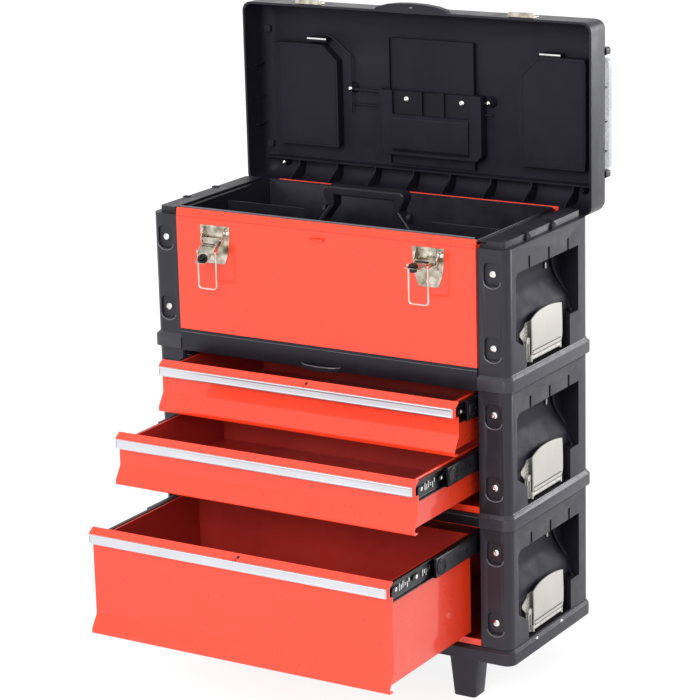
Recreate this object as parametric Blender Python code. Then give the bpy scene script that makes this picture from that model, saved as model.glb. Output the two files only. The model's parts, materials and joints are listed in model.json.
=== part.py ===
"""Rolling tool box: three latched modules on a wheeled base, with a lid, a lift-out tray and drawers.

X runs to the right, Y to the rear and Z up, in metres. Every piece is drawn where it rests: lid open and
drawers part out. Lengths in Y are measured from the front face of the corner posts, Z from the floor.
"""
import math

import bmesh
import bpy
from mathutils import Matrix, Vector

# Whole box
body_width = 0.505
body_depth = 0.214
foot_height = 0.054
module_pitch = 0.1725
fit_gap = 0.0003
seam_gap = 0.0004
overrun = 0.002
arc_steps = 4
round_sides = 16
pin_sides = 12
screw_sides = 12
smooth_angle = math.radians(35)

# End frames, the moulded sides of each module
post_width = 0.0395
frame_wall = 0.003
post_wall = 0.007
corner_radius = 0.012
collar_height = 0.0185
collar_lead = 0.004
collar_flare = 0.0038
lip_inset = 0.008
lip_height = 0.008
window_front = 0.022
window_rear = 0.029
window_low_front = 0.048
window_low_rear = 0.052
window_top = 0.141
window_step = 0.059
window_notch = 0.044
window_bottom = 0.020
window_corner = 0.006
recess_deep = 0.026
recess_shallow = 0.012
recess_sweep_top = 0.098
recess_sweep_bottom = 0.074
sweep_steps = 4
slot_width = 0.005
slot_height = 0.0145
slot_depth = 0.0016
slot_pitch = 0.0506
slot_count = 3
screw_low = 0.052
screw_high = 0.1425
screw_from_inside = 0.0195
pocket_width = 0.022
pocket_height = 0.028
pocket_depth = 0.004
pocket_arc = 0.006

# Fasteners
screw_head_radius = 0.0042
screw_head_height = 0.0022

# Steel cabinets
sheet = 0.0012
cabinet_front = 0.0015
cabinet_rear = 0.002
crossbar_height = 0.008
middle_rail_height = 0.0160
cabinet_gap = 0.0005

# Top box
panel_proud = 0.0032
rail_proud = 0.0028
rail_sheet = 0.004
top_rail_hang = 0.0018
top_rail_height = 0.0288
panel_rise = 0.011
padlock_tab_half = 0.0285
padlock_tab_reach = 0.010
padlock_tab_sheet = 0.004
padlock_slot_half = 0.008
padlock_slot_near = 0.003
padlock_slot_far = 0.006
staple_centre = -0.0055
staple_half = 0.0115
staple_sheet = 0.003
staple_reach = 0.006
staple_drop = 0.0195

# Drawers: top and middle ones share a height
drawer_front_height = 0.065
deep_front_height = 0.135
deep_front_top_gap = 0.0016
drawer_top_gap = 0.0025
drawer_pitch = 0.0680
front_half_gap = 0.001
front_sheet = 0.0014
face_set = 0.0010
ledge_reach = 0.0070
ledge_fall = 0.0055
ledge_height = 0.0135
flare_out = 0.011
flare_drop = 0.0165
lip_drop = 0.006
lip_return = 0.009
drawer_wall = 0.0012
drawer_side_drop = 0.005
deep_side_drop = 0.008
drawer_rear_gap = 0.0035
upper_extension = 0.0475
middle_extension = 0.1449
deep_rest_margin = 0.0019
drawer_travel_margin = 0.004
pull_height = 0.0118
pull_depth = 0.0037
pull_sheet = 0.0012
pull_drop = 0.0066
pull_inset = 0.002

# Ball-bearing runners
runner_space = 0.0128
runner_sheet = 0.0012
runner_rear_margin = 0.010
runner_drop = 0.020
rail_half_height = 0.0140
rail_reach = 0.0085
carrier_inset = 0.0036
carrier_reach = 0.0062
member_reach = 0.0052
runner_front_set = 0.004

# Lid, drawn open and upright behind the box
lid_length = 0.240
lid_rim_set = 0.008
lid_drop = 0.0015
lid_wall_depth = 0.034
lid_shoulder = 0.020
lid_depth = 0.052
lid_corner = 0.012
lid_wall = 0.0028
lid_rise = 0.0005
hinge_behind = 0.005
hinge_radius = 0.0027
hinge_pin_radius = 0.0014
hinge_leaf_height = 0.012
hinge_leaf_sheet = 0.0012
hinge_end_margin = 0.0625
knuckle_count = 9
knuckle_gap = 0.0005
tab_half_width = 0.053
tab_reach = 0.010
tab_depth = 0.010
tab_hole_radius = 0.003
tab_hole_out = 0.0045
well_width = 0.088
well_side_margin = 0.0285
well_low = 0.0625
well_high = 0.180
well_chamfer = 0.020
well_face = 0.036
pocket_half = 0.071
pocket_low = 0.0525
pocket_high = 0.1305
pocket_face = 0.038
cover_width = 0.1175
cover_side_margin = 0.006
cover_low = 0.060
cover_high = 0.198
cover_thick = 0.005
cover_wall = 0.002
cover_pivot_out = 0.0022
cover_pivot_above = 0.0026
cover_barrel_radius = 0.002
cover_pin_radius = 0.0014
cover_barrel_half = 0.034
cover_lug_radius = 0.0024
cover_lug_width = 0.004
carry_pivot_drop = 0.012
carry_pivot_out = 0.0065
carry_arm_width = 0.009
carry_arm_length = 0.052
carry_thick = 0.009
carry_bar = 0.014
carry_round = 0.0046
carry_pin_radius = 0.0025
keeper_width = 0.036
keeper_start = 0.003
keeper_length = 0.015
keeper_sheet = 0.0015
keeper_out = 0.006
keeper_hook = 0.006

# Front draw latches
latch_side_margin = 0.098
right_latch_set_in = 0.005
right_latch_rise = 0.003
latch_half_width = 0.022
latch_low_half_width = 0.015
latch_height = 0.0485
latch_taper = 0.032
latch_top_drop = 0.007
latch_sheet = 0.0016
latch_pivot_drop = 0.017
latch_pivot_out = 0.0062
latch_ear_width = 0.0025
latch_ear_half = 0.005
latch_ear_out = 0.009
lever_half_width = 0.013
lever_length = 0.038
lever_sheet = 0.002
lever_round = 0.006
lever_knuckle = 0.0028
lever_pin = 0.0014
lever_angle_left = math.radians(45)
lever_angle_right = math.radians(84)
bail_along = 0.019
bail_boss = 0.0024
bail_wire = 0.0011
bail_half_width = 0.0165
bail_length = 0.051
bail_corner = 0.003
wire_sides = 8
lock_radius = 0.0045
lock_inside = 0.0030
lock_outside = 0.0065
lock_along = 0.0305
key_slot_half_width = 0.0006
key_slot_half_height = 0.003
key_slot_depth = 0.002

# Side latches
side_lever_half = 0.0395
side_lever_top = 0.079
side_lever_arch = 0.004
side_lever_taper = 0.012
side_lever_sheet = 0.002
side_lever_inset = 0.002
side_pivot_height = 0.0262
side_pivot_inset = 0.0055
side_knuckle = 0.0032
side_pin = 0.0014
side_plate_sheet = 0.0016
side_plate_high = 0.070
side_ear_width = 0.0025
side_ear_half = 0.004
side_tongue_half = 0.013
side_tongue_reach = 0.014
side_tongue_height = 0.056
side_link_wire = 0.001
side_link_low = 0.024
side_link_high = 0.050
side_link_ahead = 0.0475
side_link_width = 0.0055

# Tote tray
ledge_rise = 0.003
tray_flange_lap = 0.008
tray_side_gap = 0.004
tray_front = 0.002
tray_rear_gap = 0.008
tray_floor = 0.518
tray_wall = 0.002
tray_wall_top = 0.579
divider_start = 0.092
divider_top = 0.570
handle_top = 0.604
handle_half = 0.058
handle_bar = 0.011
handle_corner = 0.0036
handle_half_depth = 0.0105
handle_leg_inner = 0.043
handle_leg = 0.008
handle_splay_top = 0.579
handle_splay = 0.018
handle_splay_bottom = 0.556

# Feet, wheels and axle
foot_side_margin = 0.0685
foot_middle = 0.020
foot_top_half = 0.0205
foot_bottom_half = 0.015
foot_top_half_depth = 0.0155
foot_bottom_half_depth = 0.014
foot_round = 0.004
foot_arc_steps = 2
base_wall = 0.003
deck_side_margin = 0.1245
deck_reach = 0.090
lug_width = 0.010
lug_half_depth = 0.012
lug_margin = 0.006
wheel_radius = 0.046
wheel_width = 0.032
wheel_deck_gap = 0.016
wheel_behind = 0.049
tyre_thickness = 0.014
tyre_round = 0.006
hub_web = 0.008
hub_boss_radius = 0.012
axle_radius = 0.005
axle_clearance = 0.0003
axle_head_radius = 0.009
axle_head = 0.004
wheel_sides = 28

# Telescopic pull handle
sleeve_half_spacing = 0.095
sleeve_radius = 0.011
sleeve_behind = 0.079
sleeve_wall = 0.0013
sleeve_top = 0.530
sleeve_gap = 0.0003
tube_wall = 0.0012
tube_foot = 0.100
grip_height = 0.027
grip_depth = 0.024
grip_rest_gap = 0.055
grip_overhang = 0.017
grip_bar_rise = 0.001
grip_bar_height = 0.011
grip_bar_depth = 0.012
grip_round = 0.008
brace_low = 0.300
brace_height = 0.030
brace_sheet = 0.003
brace_overhang = 0.035
brace_arm_half = 0.006
button_half_width = 0.015
button_half_depth = 0.006
button_proud = 0.003
button_deep = 0.009
button_round = 0.002
tube_sides = 20

# Derived places
half_width = body_width / 2
inner_half = half_width - post_width
base_top = foot_height + collar_height
module_bottoms = [foot_height + module_pitch * level for level in range(3)]
frame_top = foot_height + module_pitch * 3
body_centre = body_depth / 2
side_half = inner_half - fit_gap
opening_half = inner_half - front_half_gap
drawer_half = side_half - sheet - runner_space
drawer_travel = body_depth - drawer_travel_margin
deep_extension = drawer_travel - deep_rest_margin
runner_length = body_depth - runner_front_set - runner_rear_margin
latch_half_spacing = half_width - latch_side_margin
hinge_half_length = half_width - hinge_end_margin
well_outer = half_width - well_side_margin
well_inner = well_outer - well_width
cover_outer = half_width - cover_side_margin
cover_inner = cover_outer - cover_width
side_link_front = body_centre - side_link_ahead
tray_half = inner_half - tray_side_gap
tray_flange_half = inner_half + tray_flange_lap
tray_rear = body_depth - tray_rear_gap
foot_centre = half_width - foot_side_margin
deck_half = half_width - deck_side_margin
deck_rear = body_depth + deck_reach
wheel_inside = deck_half + wheel_deck_gap
brace_half_width = sleeve_half_spacing + brace_overhang
grip_base = sleeve_top + grip_rest_gap
top_bottom = module_bottoms[2]
panel_bottom = top_bottom - top_rail_hang + top_rail_height
panel_top = frame_top + panel_rise
strip_front = -(face_set + ledge_reach + fit_gap + pull_depth)
hinge_y = body_depth + hinge_behind
lid_rim_y = body_depth + lid_rim_set
hinge_z = frame_top + lid_rise - (lid_rim_y - hinge_y)
lid_low = hinge_z - lid_drop
lid_back = lid_rim_y + lid_depth
lid_top = lid_low + lid_length
ledge_top = frame_top + ledge_rise
wheel_y = body_depth + wheel_behind
sleeve_y = body_depth + sleeve_behind
rear_most = max(sleeve_y + max(sleeve_radius, grip_depth / 2), wheel_y + wheel_radius)
front_most = strip_front - deep_extension
origin_shift = -(front_most + rear_most) / 2


def material(name, colour, roughness, metallic=0.0):
    """Principled material; colour is linear RGB."""
    slot = bpy.data.materials.new(name)
    slot.use_nodes = True
    shader = slot.node_tree.nodes["Principled BSDF"]
    shader.inputs["Base Color"].default_value = (*colour, 1)
    shader.inputs["Roughness"].default_value = roughness
    shader.inputs["Metallic"].default_value = metallic
    slot.diffuse_color = (*colour, 1)
    return slot


def solid(vertices, faces):
    """A hidden working object from vertices and faces, with its faces turned outwards."""
    mesh = bpy.data.meshes.new("work")
    mesh.from_pydata([tuple(v) for v in vertices], [], faces)
    shape = bmesh.new()
    shape.from_mesh(mesh)
    bmesh.ops.recalc_face_normals(shape, faces=shape.faces)
    shape.to_mesh(mesh)
    shape.free()
    piece = bpy.data.objects.new("work", mesh)
    bpy.context.collection.objects.link(piece)
    return piece


def loft(rings):
    """Closed solid through rings of equal length, capped at both ends."""
    count = len(rings[0])
    faces = [tuple(range(count))[::-1], tuple(range((len(rings) - 1) * count, len(rings) * count))]
    for level in range(len(rings) - 1):
        for i in range(count):
            j = (i + 1) % count
            near, far = level * count, (level + 1) * count
            faces.append((near + i, near + j, far + j, far + i))
    return solid([point for ring in rings for point in ring], faces)


def axis_point(axis, a, b, height):
    """A point from two in-plane values and a height along an axis; the plane's order is XY, XZ or YZ."""
    if axis == "Z":
        return (a, b, height)
    if axis == "Y":
        return (a, height, b)
    return (height, a, b)


def prism(outline, axis, start, end):
    """An outline extruded along an axis."""
    return loft([[axis_point(axis, a, b, height) for a, b in outline] for height in (start, end)])


def block(low, high):
    """A plain box between two corners."""
    outline = [(low[0], low[1]), (high[0], low[1]), (high[0], high[1]), (low[0], high[1])]
    return prism(outline, "Z", low[2], high[2])


def turned(profile, axis, centre, sides=round_sides):
    """A profile of (radius, height) pairs turned round an axis through centre, poles on the axis left out."""
    rings = []
    for radius, height in profile:
        ring = []
        for i in range(sides):
            turn = 2 * math.pi * i / sides
            a, b = radius * math.cos(turn), radius * math.sin(turn)
            ring.append(tuple(c + d for c, d in zip(centre, axis_point(axis, a, b, height))))
        rings.append(ring)
    return loft(rings)


def rod(axis, centre, radius, start, end, sides=round_sides):
    """A round bar along an axis."""
    return turned([(radius, start), (radius, end)], axis, centre, sides)


def ring_wheel(profile, axis, centre, sides):
    """A closed profile of (radius, height) pairs turned into a ring with an open bore."""
    count = len(profile)
    vertices, faces = [], []
    for i in range(sides):
        turn = 2 * math.pi * i / sides
        for radius, height in profile:
            offset = axis_point(axis, radius * math.cos(turn), radius * math.sin(turn), height)
            vertices.append(tuple(c + d for c, d in zip(centre, offset)))
    for i in range(sides):
        k = (i + 1) % sides
        for j in range(count):
            m = (j + 1) % count
            faces.append((i * count + j, i * count + m, k * count + m, k * count + j))
    return solid(vertices, faces)


def rounded(low, high, radius, steps=arc_steps, corners=(True, True, True, True)):
    """Outline of a rectangle with chosen corners rounded, from its low corner round anticlockwise."""
    centres = [(low[0] + radius, low[1] + radius), (high[0] - radius, low[1] + radius),
               (high[0] - radius, high[1] - radius), (low[0] + radius, high[1] - radius)]
    plain = [(low[0], low[1]), (high[0], low[1]), (high[0], high[1]), (low[0], high[1])]
    outline = []
    for corner in range(4):
        if not corners[corner]:
            outline.append(plain[corner])
            continue
        for i in range(steps + 1):
            turn = math.pi + math.pi / 2 * (corner + i / steps)
            centre = centres[corner]
            outline.append((centre[0] + radius * math.cos(turn), centre[1] + radius * math.sin(turn)))
    return outline


def ribbon(path, thickness):
    """Outline of a bent sheet: a path and its mitred offset to the left."""
    count = len(path)
    normals = []
    for (a, b), (c, d) in zip(path, path[1:]):
        length = math.hypot(c - a, d - b)
        normals.append((-(d - b) / length, (c - a) / length))
    inner = []
    for i in range(count):
        first = normals[max(i - 1, 0)]
        second = normals[min(i, count - 2)]
        scale = thickness / (1 + first[0] * second[0] + first[1] * second[1])
        inner.append((path[i][0] + scale * (first[0] + second[0]),
                      path[i][1] + scale * (first[1] + second[1])))
    return path + inner[::-1]


def combine(target, tools, operation):
    """Apply exact Booleans to a working object and remove the tools."""
    for tool in tools:
        change = target.modifiers.new("change", "BOOLEAN")
        change.operation = operation
        change.solver = "EXACT"
        change.object = tool
        bpy.context.view_layer.update()
        graph = bpy.context.evaluated_depsgraph_get()
        mesh = bpy.data.meshes.new_from_object(target.evaluated_get(graph))
        target.modifiers.clear()
        target.data = mesh
        bpy.data.objects.remove(tool)
    return target


def cut(target, *tools):
    return combine(target, tools, "DIFFERENCE")


def add(target, *tools):
    return combine(target, tools, "UNION")


def keep(target, *tools):
    return combine(target, tools, "INTERSECT")


def mirrored(piece):
    """A copy of a working object reflected in the YZ plane."""
    other = piece.copy()
    other.data = piece.data.copy()
    bpy.context.collection.objects.link(other)
    other.data.transform(Matrix.Scale(-1, 4, Vector((1, 0, 0))))
    other.data.flip_normals()
    return other


def turn_about(piece, axis, angle, centre):
    """A working object turned about an axis through centre."""
    spin = Matrix.Translation(centre) @ Matrix.Rotation(angle, 4, axis) @ Matrix.Translation(-Vector(centre))
    piece.data.transform(spin)
    return piece


def joint(name, place, parent):
    """An empty on a joint's axis, in box coordinates."""
    empty = bpy.data.objects.new(name, None)
    bpy.context.collection.objects.link(empty)
    empty.parent = parent
    empty["place"] = tuple(place)
    base = Vector(parent["place"]) if parent else Vector((0, 0, 0))
    empty.location = Vector(place) - base
    empty.empty_display_size = axle_head_radius
    return empty


def node(name, piece, slot, parent, smooth=False):
    """Name a finished working object, give it its material and hang it on its joint's empty."""
    piece.name = name
    piece.data.name = name
    piece.data.transform(Matrix.Translation(-Vector(parent["place"])))
    piece.data.materials.clear()
    piece.data.materials.append(slot)
    piece.parent = parent
    if smooth:
        piece.data.shade_smooth()
        piece.data.set_sharp_from_angle(angle=smooth_angle)
    return piece


def plan_outline(grow, inner):
    """Plan of a right end frame, grown outwards by grow on its three outer sides."""
    return rounded((inner, -grow), (half_width + grow, body_depth + grow), corner_radius + min(grow, 0),
                   corners=(False, True, True, False))


def window_outline(bottom, grow):
    """Stepped side window in Y and Z, grown all round by grow."""
    front, rear = window_front - grow, body_depth - window_rear + grow
    low_front, low_rear = window_low_front - grow, body_depth - window_low_rear + grow
    top, step = bottom + window_top + grow, bottom + window_step - grow
    notch, base = bottom + window_notch - grow, bottom + window_bottom - grow
    return [(low_front, base), (low_rear, base), (low_rear, step), (rear, step), (rear, top),
            (front + window_corner, top), (front, top - window_corner), (front, step), (low_front, notch)]


def recess_outline(bottom, grow):
    """Depth profile of the recess in X and Z: deep at the top, swept out to shallow at the bottom."""
    deep, shallow = half_width - recess_deep - grow, half_width - recess_shallow - grow
    upper, lower = bottom + recess_sweep_top, bottom + recess_sweep_bottom
    sweep = []
    for i in range(sweep_steps + 1):
        share = i / sweep_steps
        ease = (1 - math.cos(math.pi * share)) / 2
        sweep.append((deep + (shallow - deep) * ease, upper + (lower - upper) * share))
    outside = half_width + overrun - grow
    head, foot = bottom + module_pitch, bottom - overrun
    return [(outside, foot), (outside, head), (deep, head)] + sweep + [(shallow, foot)]


def recess_body(bottom, grow, low):
    """The window's prism limited by the recess profile and by the frame's underside."""
    window = prism(window_outline(bottom, grow), "X", inner_half - overrun, half_width + overrun - grow)
    profile = prism(recess_outline(bottom, grow), "Y", 0.0, body_depth)
    return keep(window, profile, block((0.0, 0.0, low), (body_width, body_depth, bottom + module_pitch)))


def end_frame(level):
    """Right end frame of a module: hollow moulding with a latch recess, post pockets and slots."""
    bottom = module_bottoms[level]
    lower = base_top + seam_gap if level == 0 else bottom + seam_gap
    upper = module_bottoms[level] + module_pitch
    rings = [(lower, 0.0), (upper, 0.0)]
    if level > 0:
        rings = [(lower, collar_flare), (bottom + collar_height - collar_lead, collar_flare),
                 (bottom + collar_height, 0.0), (upper, 0.0)]
    body = loft([[(x, y, z) for x, y in plan_outline(grow, inner_half)] for z, grow in rings])
    if level == 2:
        lip = [[(x, y, z) for x, y in plan_outline(-lip_inset, inner_half)] for z in
               (upper - frame_wall, upper + lip_height)]
        add(body, loft(lip))
    cavity = block((inner_half - overrun, post_wall, lower + frame_wall),
                   (half_width - frame_wall, body_depth - frame_wall, upper - frame_wall))
    cut(body, cavity)
    add(body, recess_body(bottom, frame_wall, lower))
    cut(body, recess_body(bottom, 0.0, lower - overrun))
    for i in range(slot_count):
        centre = body_centre + slot_pitch * (i - (slot_count - 1) / 2)
        base = bottom + window_top
        cut(body, block((half_width - slot_depth, centre - slot_width / 2, base - overrun),
                        (half_width + overrun, centre + slot_width / 2, base + slot_height)))
    for height in (screw_low, screw_high):
        x, z = inner_half + screw_from_inside, bottom + height
        outline = rounded((x - pocket_width / 2, z - pocket_height / 2),
                          (x + pocket_width / 2, z + pocket_height / 2), pocket_arc)
        cut(body, prism(outline, "Y", -overrun, pocket_depth))
        add(body, rod("Y", (x, 0, z), screw_head_radius, pocket_depth - screw_head_height,
                      pocket_depth + screw_head_height / 2, screw_sides))
    if level == 2:
        cut(body, block((inner_half - overrun, 0.0, ledge_top),
                        (tray_flange_half + fit_gap, body_depth, upper + lip_height + overrun)))
    return side_latch_mount(body, level)


def open_box(low, high, wall):
    """A sheet box with an open top."""
    body = block(low, high)
    inner_low = [value + wall for value in low]
    return cut(body, block(inner_low, (high[0] - wall, high[1] - wall, high[2] + overrun)))


def cabinet(low, high, drawer_tops):
    """A sheet box open at the front, with a folded lower front edge and each drawer's rails."""
    body = block(low, high)
    cut(body, block((low[0] + sheet, low[1] - overrun, low[2] + sheet),
                    (high[0] - sheet, high[1] - sheet, high[2] - sheet)))
    add(body, block((low[0] + sheet / 2, low[1], low[2] + sheet / 2),
                    (high[0] - sheet / 2, low[1] + sheet, low[2] + crossbar_height)))
    for top in drawer_tops:
        rail = channel(side_half - sheet / 2, rail_reach, rail_half_height, top - runner_drop,
                       runner_front_set)
        add(body, rail, mirrored(rail))
    return body


def top_box_shell():
    """Steel box behind the red front panel, which stands proud of the posts and is folded over at its top."""
    front, rear = -panel_proud, body_depth - cabinet_rear
    body = block((-side_half, front, panel_bottom + seam_gap), (side_half, rear, panel_top))
    cut(body, block((-side_half + sheet, front + sheet, panel_bottom + seam_gap + sheet),
                    (side_half - sheet, rear - sheet, panel_top + overrun)))
    cut(body, block((-body_width, front + sheet, ledge_top), (body_width, body_depth, panel_top + overrun)))
    fold = block((-side_half, front, panel_top - sheet),
                 (side_half, front + sheet / 2 + panel_proud / 2, panel_top))
    add(body, fold)
    z = frame_top + lip_height - staple_drop
    return add(body, block((staple_centre - staple_half, front - staple_reach, z),
                           (staple_centre + staple_half, front + sheet / 2, z + staple_sheet)))


def rail_bar(low, height):
    """Moulded rail across the front of a module."""
    return block((-side_half, -rail_proud, low), (side_half, rail_sheet - rail_proud, low + height))


def top_front_rail():
    """Rail under the red front panel, with a slotted padlock tab."""
    low = top_bottom - top_rail_hang
    body = rail_bar(low, top_rail_height)
    tab = [(-padlock_tab_half, 0.0)]
    for i in range(1, arc_steps * 2):
        turn = math.pi * (1 + i / (arc_steps * 2))
        tab.append((padlock_tab_half * math.cos(turn), padlock_tab_reach * math.sin(turn)))
    tab.append((padlock_tab_half, 0.0))
    tab = [(x + staple_centre, y - rail_proud + overrun) for x, y in tab]
    add(body, prism(tab, "Z", low, low + padlock_tab_sheet))
    near, far = -rail_proud - padlock_slot_near, -rail_proud - padlock_slot_far
    return cut(body, block((staple_centre - padlock_slot_half, far, low - overrun),
                           (staple_centre + padlock_slot_half, near, panel_bottom - overrun)))


def drawer_front(top, height, extension):
    """Pressed drawer front: sloped top ledge, flat face, and a flared foot with a return lip."""
    face = -(face_set + extension)
    low = top - height
    path = [(face + lip_return - flare_out, low), (face - flare_out, low), (face - flare_out, low + lip_drop),
            (face, low + lip_drop + flare_drop), (face, top - ledge_fall - ledge_height),
            (face - ledge_reach, top - ledge_fall - ledge_height), (face - ledge_reach, top - ledge_fall),
            (face + front_sheet, top)]
    return prism(ribbon(path[::-1], front_sheet), "X", -opening_half, opening_half)


def drawer_pull(top, extension):
    """Aluminium grip strip, a channel clipped over the ledge."""
    back = -(face_set + extension) - ledge_reach - fit_gap
    front = back - pull_depth
    high = top - pull_drop
    low = high - pull_height
    path = [(back, high), (front, high), (front, low), (back, low)]
    return prism(ribbon(path, pull_sheet), "X", -(opening_half - pull_inset), opening_half - pull_inset)


def drawer_box(top, height, extension, side_drop):
    """Sheet drawer tray behind its front, with the runners' inner members riveted to its sides."""
    front = front_sheet + fit_gap - face_set - extension
    rear = body_depth - cabinet_rear - sheet - drawer_rear_gap - extension
    body = open_box((-drawer_half, front, top - height), (drawer_half, rear, top - side_drop), drawer_wall)
    member = runner_member(top, extension)
    return add(body, member, mirrored(member))


def channel(outer, reach, half_height, centre, front):
    """A C section runner member on the right side, its web at outer and its flanges reaching inwards."""
    path = [(outer - reach, centre + half_height), (outer, centre + half_height),
            (outer, centre - half_height), (outer - reach, centre - half_height)]
    return prism(ribbon(path[::-1], runner_sheet), "Y", front, front + runner_length)


def runner_carrier(top, extension):
    """Middle member of the right runner."""
    outer = side_half - sheet / 2 - carrier_inset
    half_height = rail_half_height - runner_sheet - fit_gap
    front = runner_front_set - extension / 2
    return channel(outer, carrier_reach, half_height, top - runner_drop, front)


def runner_member(top, extension):
    """Drawer's member of the right runner: its flanges reach outwards into the carrier."""
    web = drawer_half - drawer_wall / 2
    centre = top - runner_drop
    half_height = rail_half_height - 2 * (runner_sheet + fit_gap)
    path = [(web + member_reach, centre - half_height), (web, centre - half_height),
            (web, centre + half_height), (web + member_reach, centre + half_height)]
    front = runner_front_set - extension
    return prism(ribbon(path[::-1], runner_sheet), "Y", front, front + runner_length)


def lid_outline(inset):
    """Rounded outline of the open lid in X and Z."""
    return rounded((-half_width + inset, lid_low + inset), (half_width - inset, lid_top - inset),
                   max(lid_corner - inset / 2, lid_wall))


def lid_loft(wall):
    """Solid form of the lid inset by wall: straight sides, then a rounded shoulder."""
    levels = [(-overrun if wall else 0.0, wall), (lid_wall_depth, wall)]
    drop = lid_depth - lid_wall_depth - wall
    for i in range(1, arc_steps + 1):
        turn = math.pi / 2 * i / arc_steps
        inset = wall + (lid_shoulder - wall) * (1 - math.cos(turn))
        levels.append((lid_wall_depth + drop * math.sin(turn), inset))
    return loft([[(x, lid_rim_y + depth, z) for x, z in lid_outline(inset)] for depth, inset in levels])


def chamfered(inner, outer, low, high, chamfer, grow):
    """Right-hand outline in X and Z with its upper inner corner cut off."""
    inner, outer, low, high = inner - grow, outer + grow, lid_low + low - grow, lid_low + high + grow
    return [(inner, low), (outer, low), (outer, high), (inner + chamfer, high), (inner, high - chamfer)]


def knuckle_spans(lid_side):
    """X spans of every other hinge knuckle: odd ones turn with the lid."""
    step = hinge_half_length * 2 / knuckle_count
    spans = []
    for i in range(knuckle_count):
        if (i % 2 == 1) == lid_side:
            start = -hinge_half_length + step * i
            spans.append((start + knuckle_gap, start + step - knuckle_gap))
    return spans


def cover_places():
    """Pivot of an organizer cover in Y and Z, and the middle of its barrel in X."""
    out = lid_back + fit_gap + cover_pivot_out
    return out, lid_low + cover_high + cover_pivot_above, (cover_inner + cover_outer) / 2


def lid_shell():
    """Moulded lid with organizer wells, a handle recess, a padlock tab and hinge knuckles."""
    body = lid_loft(0.0)
    cut(body, lid_loft(lid_wall))
    inside = lid_back - lid_wall / 2
    out, above, middle = cover_places()
    for flip in (False, True):
        boss = prism(chamfered(well_inner, well_outer, well_low, well_high, well_chamfer, lid_wall), "Y",
                     lid_rim_y + well_face, inside)
        well = prism(chamfered(well_inner, well_outer, well_low, well_high, well_chamfer, 0.0), "Y",
                     lid_rim_y + well_face + lid_wall, lid_back + overrun)
        lugs, bores = [], []
        for side in (-1, 1):
            near = middle + side * (cover_barrel_half + fit_gap)
            far = near + side * cover_lug_width
            start, end = min(near, far), max(near, far)
            lugs.append(block((start, inside, above - cover_lug_radius + fit_gap),
                              (end, out, above + cover_lug_radius)))
            lugs.append(rod("X", (0, out, above), cover_lug_radius, start, end, pin_sides))
            bores.append(rod("X", (0, out, above), cover_pin_radius + fit_gap, start - overrun,
                             end + overrun, pin_sides))
        pieces = [boss, well] + lugs + bores
        if flip:
            pieces = [mirror_over(piece) for piece in pieces]
        add(body, pieces[0], *pieces[2:6])
        cut(body, pieces[1], *pieces[6:])
    low, high = lid_low + pocket_low, lid_low + pocket_high
    add(body, block((-pocket_half, lid_rim_y + pocket_face, low), (pocket_half, inside, high)))
    cut(body, block((-pocket_half + lid_wall, lid_rim_y + pocket_face + lid_wall, low + lid_wall),
                    (pocket_half - lid_wall, lid_back + overrun, high - lid_wall)))
    pivot_y, pivot_z = lid_back - carry_pivot_out, high - carry_pivot_drop
    cut(body, rod("X", (0, pivot_y, pivot_z), carry_pin_radius + fit_gap, -pocket_half - overrun,
                  pocket_half + overrun, pin_sides))
    tab = [(-tab_half_width, lid_top - lid_wall / 2)]
    for i in range(arc_steps * 2 + 1):
        turn = math.pi * (1 - i / (arc_steps * 2))
        tab.append((tab_half_width * math.cos(turn), lid_top + tab_reach * math.sin(turn)))
    tab.append((tab_half_width, lid_top - lid_wall / 2))
    add(body, prism(tab[::-1], "Y", lid_rim_y, lid_rim_y + tab_depth))
    cut(body, rod("Y", (0, 0, lid_top + tab_hole_out), tab_hole_radius, lid_rim_y - overrun,
                  lid_rim_y + tab_depth + overrun, pin_sides))
    for start, end in knuckle_spans(True):
        add(body, block((start, hinge_y, hinge_z - hinge_radius),
                        (end, lid_rim_y + lid_wall, lid_low + lid_wall / 2)))
        add(body, rod("X", (0, hinge_y, hinge_z), hinge_radius, start, end, pin_sides))
        cut(body, rod("X", (0, hinge_y, hinge_z), hinge_pin_radius + fit_gap, start - overrun, end + overrun,
                      pin_sides))
    return body


def mirror_over(piece):
    """Turn a working object into its mirror image."""
    other = mirrored(piece)
    bpy.data.objects.remove(piece)
    return other


def hinge_leaf():
    """Hinge leaf on the back of the top box, with its knuckles."""
    leaf = body_depth - cabinet_rear + fit_gap
    top = hinge_z - hinge_radius
    body = block((-hinge_half_length, leaf, top - hinge_leaf_height),
                 (hinge_half_length, leaf + hinge_leaf_sheet, top))
    for start, end in knuckle_spans(False):
        add(body, block((start, leaf, top - hinge_leaf_sheet), (end, hinge_y, hinge_z - hinge_pin_radius)))
        add(body, rod("X", (0, hinge_y, hinge_z), hinge_radius, start, end, pin_sides))
    return cut(body, rod("X", (0, hinge_y, hinge_z), hinge_pin_radius + fit_gap, -hinge_half_length - overrun,
                         hinge_half_length + overrun, pin_sides))


def organizer_cover():
    """Right clear cover: a shallow cap with a pivot barrel along its top edge."""
    near = lid_back + fit_gap
    out, above, middle = cover_places()
    outline = chamfered(cover_inner, cover_outer, cover_low, cover_high, well_chamfer, 0.0)
    hollow = chamfered(cover_inner, cover_outer, cover_low, cover_high, well_chamfer, -cover_wall)
    body = prism(outline, "Y", near, near + cover_thick)
    cut(body, prism(hollow, "Y", near - overrun, near + cover_thick - cover_wall))
    barrel = cover_barrel_half
    add(body, block((middle - barrel, out - cover_barrel_radius, above - cover_pivot_above - cover_wall / 2),
                    (middle + barrel, out + cover_barrel_radius, above)))
    add(body, rod("X", (0, out, above), cover_barrel_radius, middle - barrel, middle + barrel, pin_sides))
    pin = barrel + cover_lug_width
    return add(body, rod("X", (0, out, above), cover_pin_radius, middle - pin, middle + pin, pin_sides))


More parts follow.
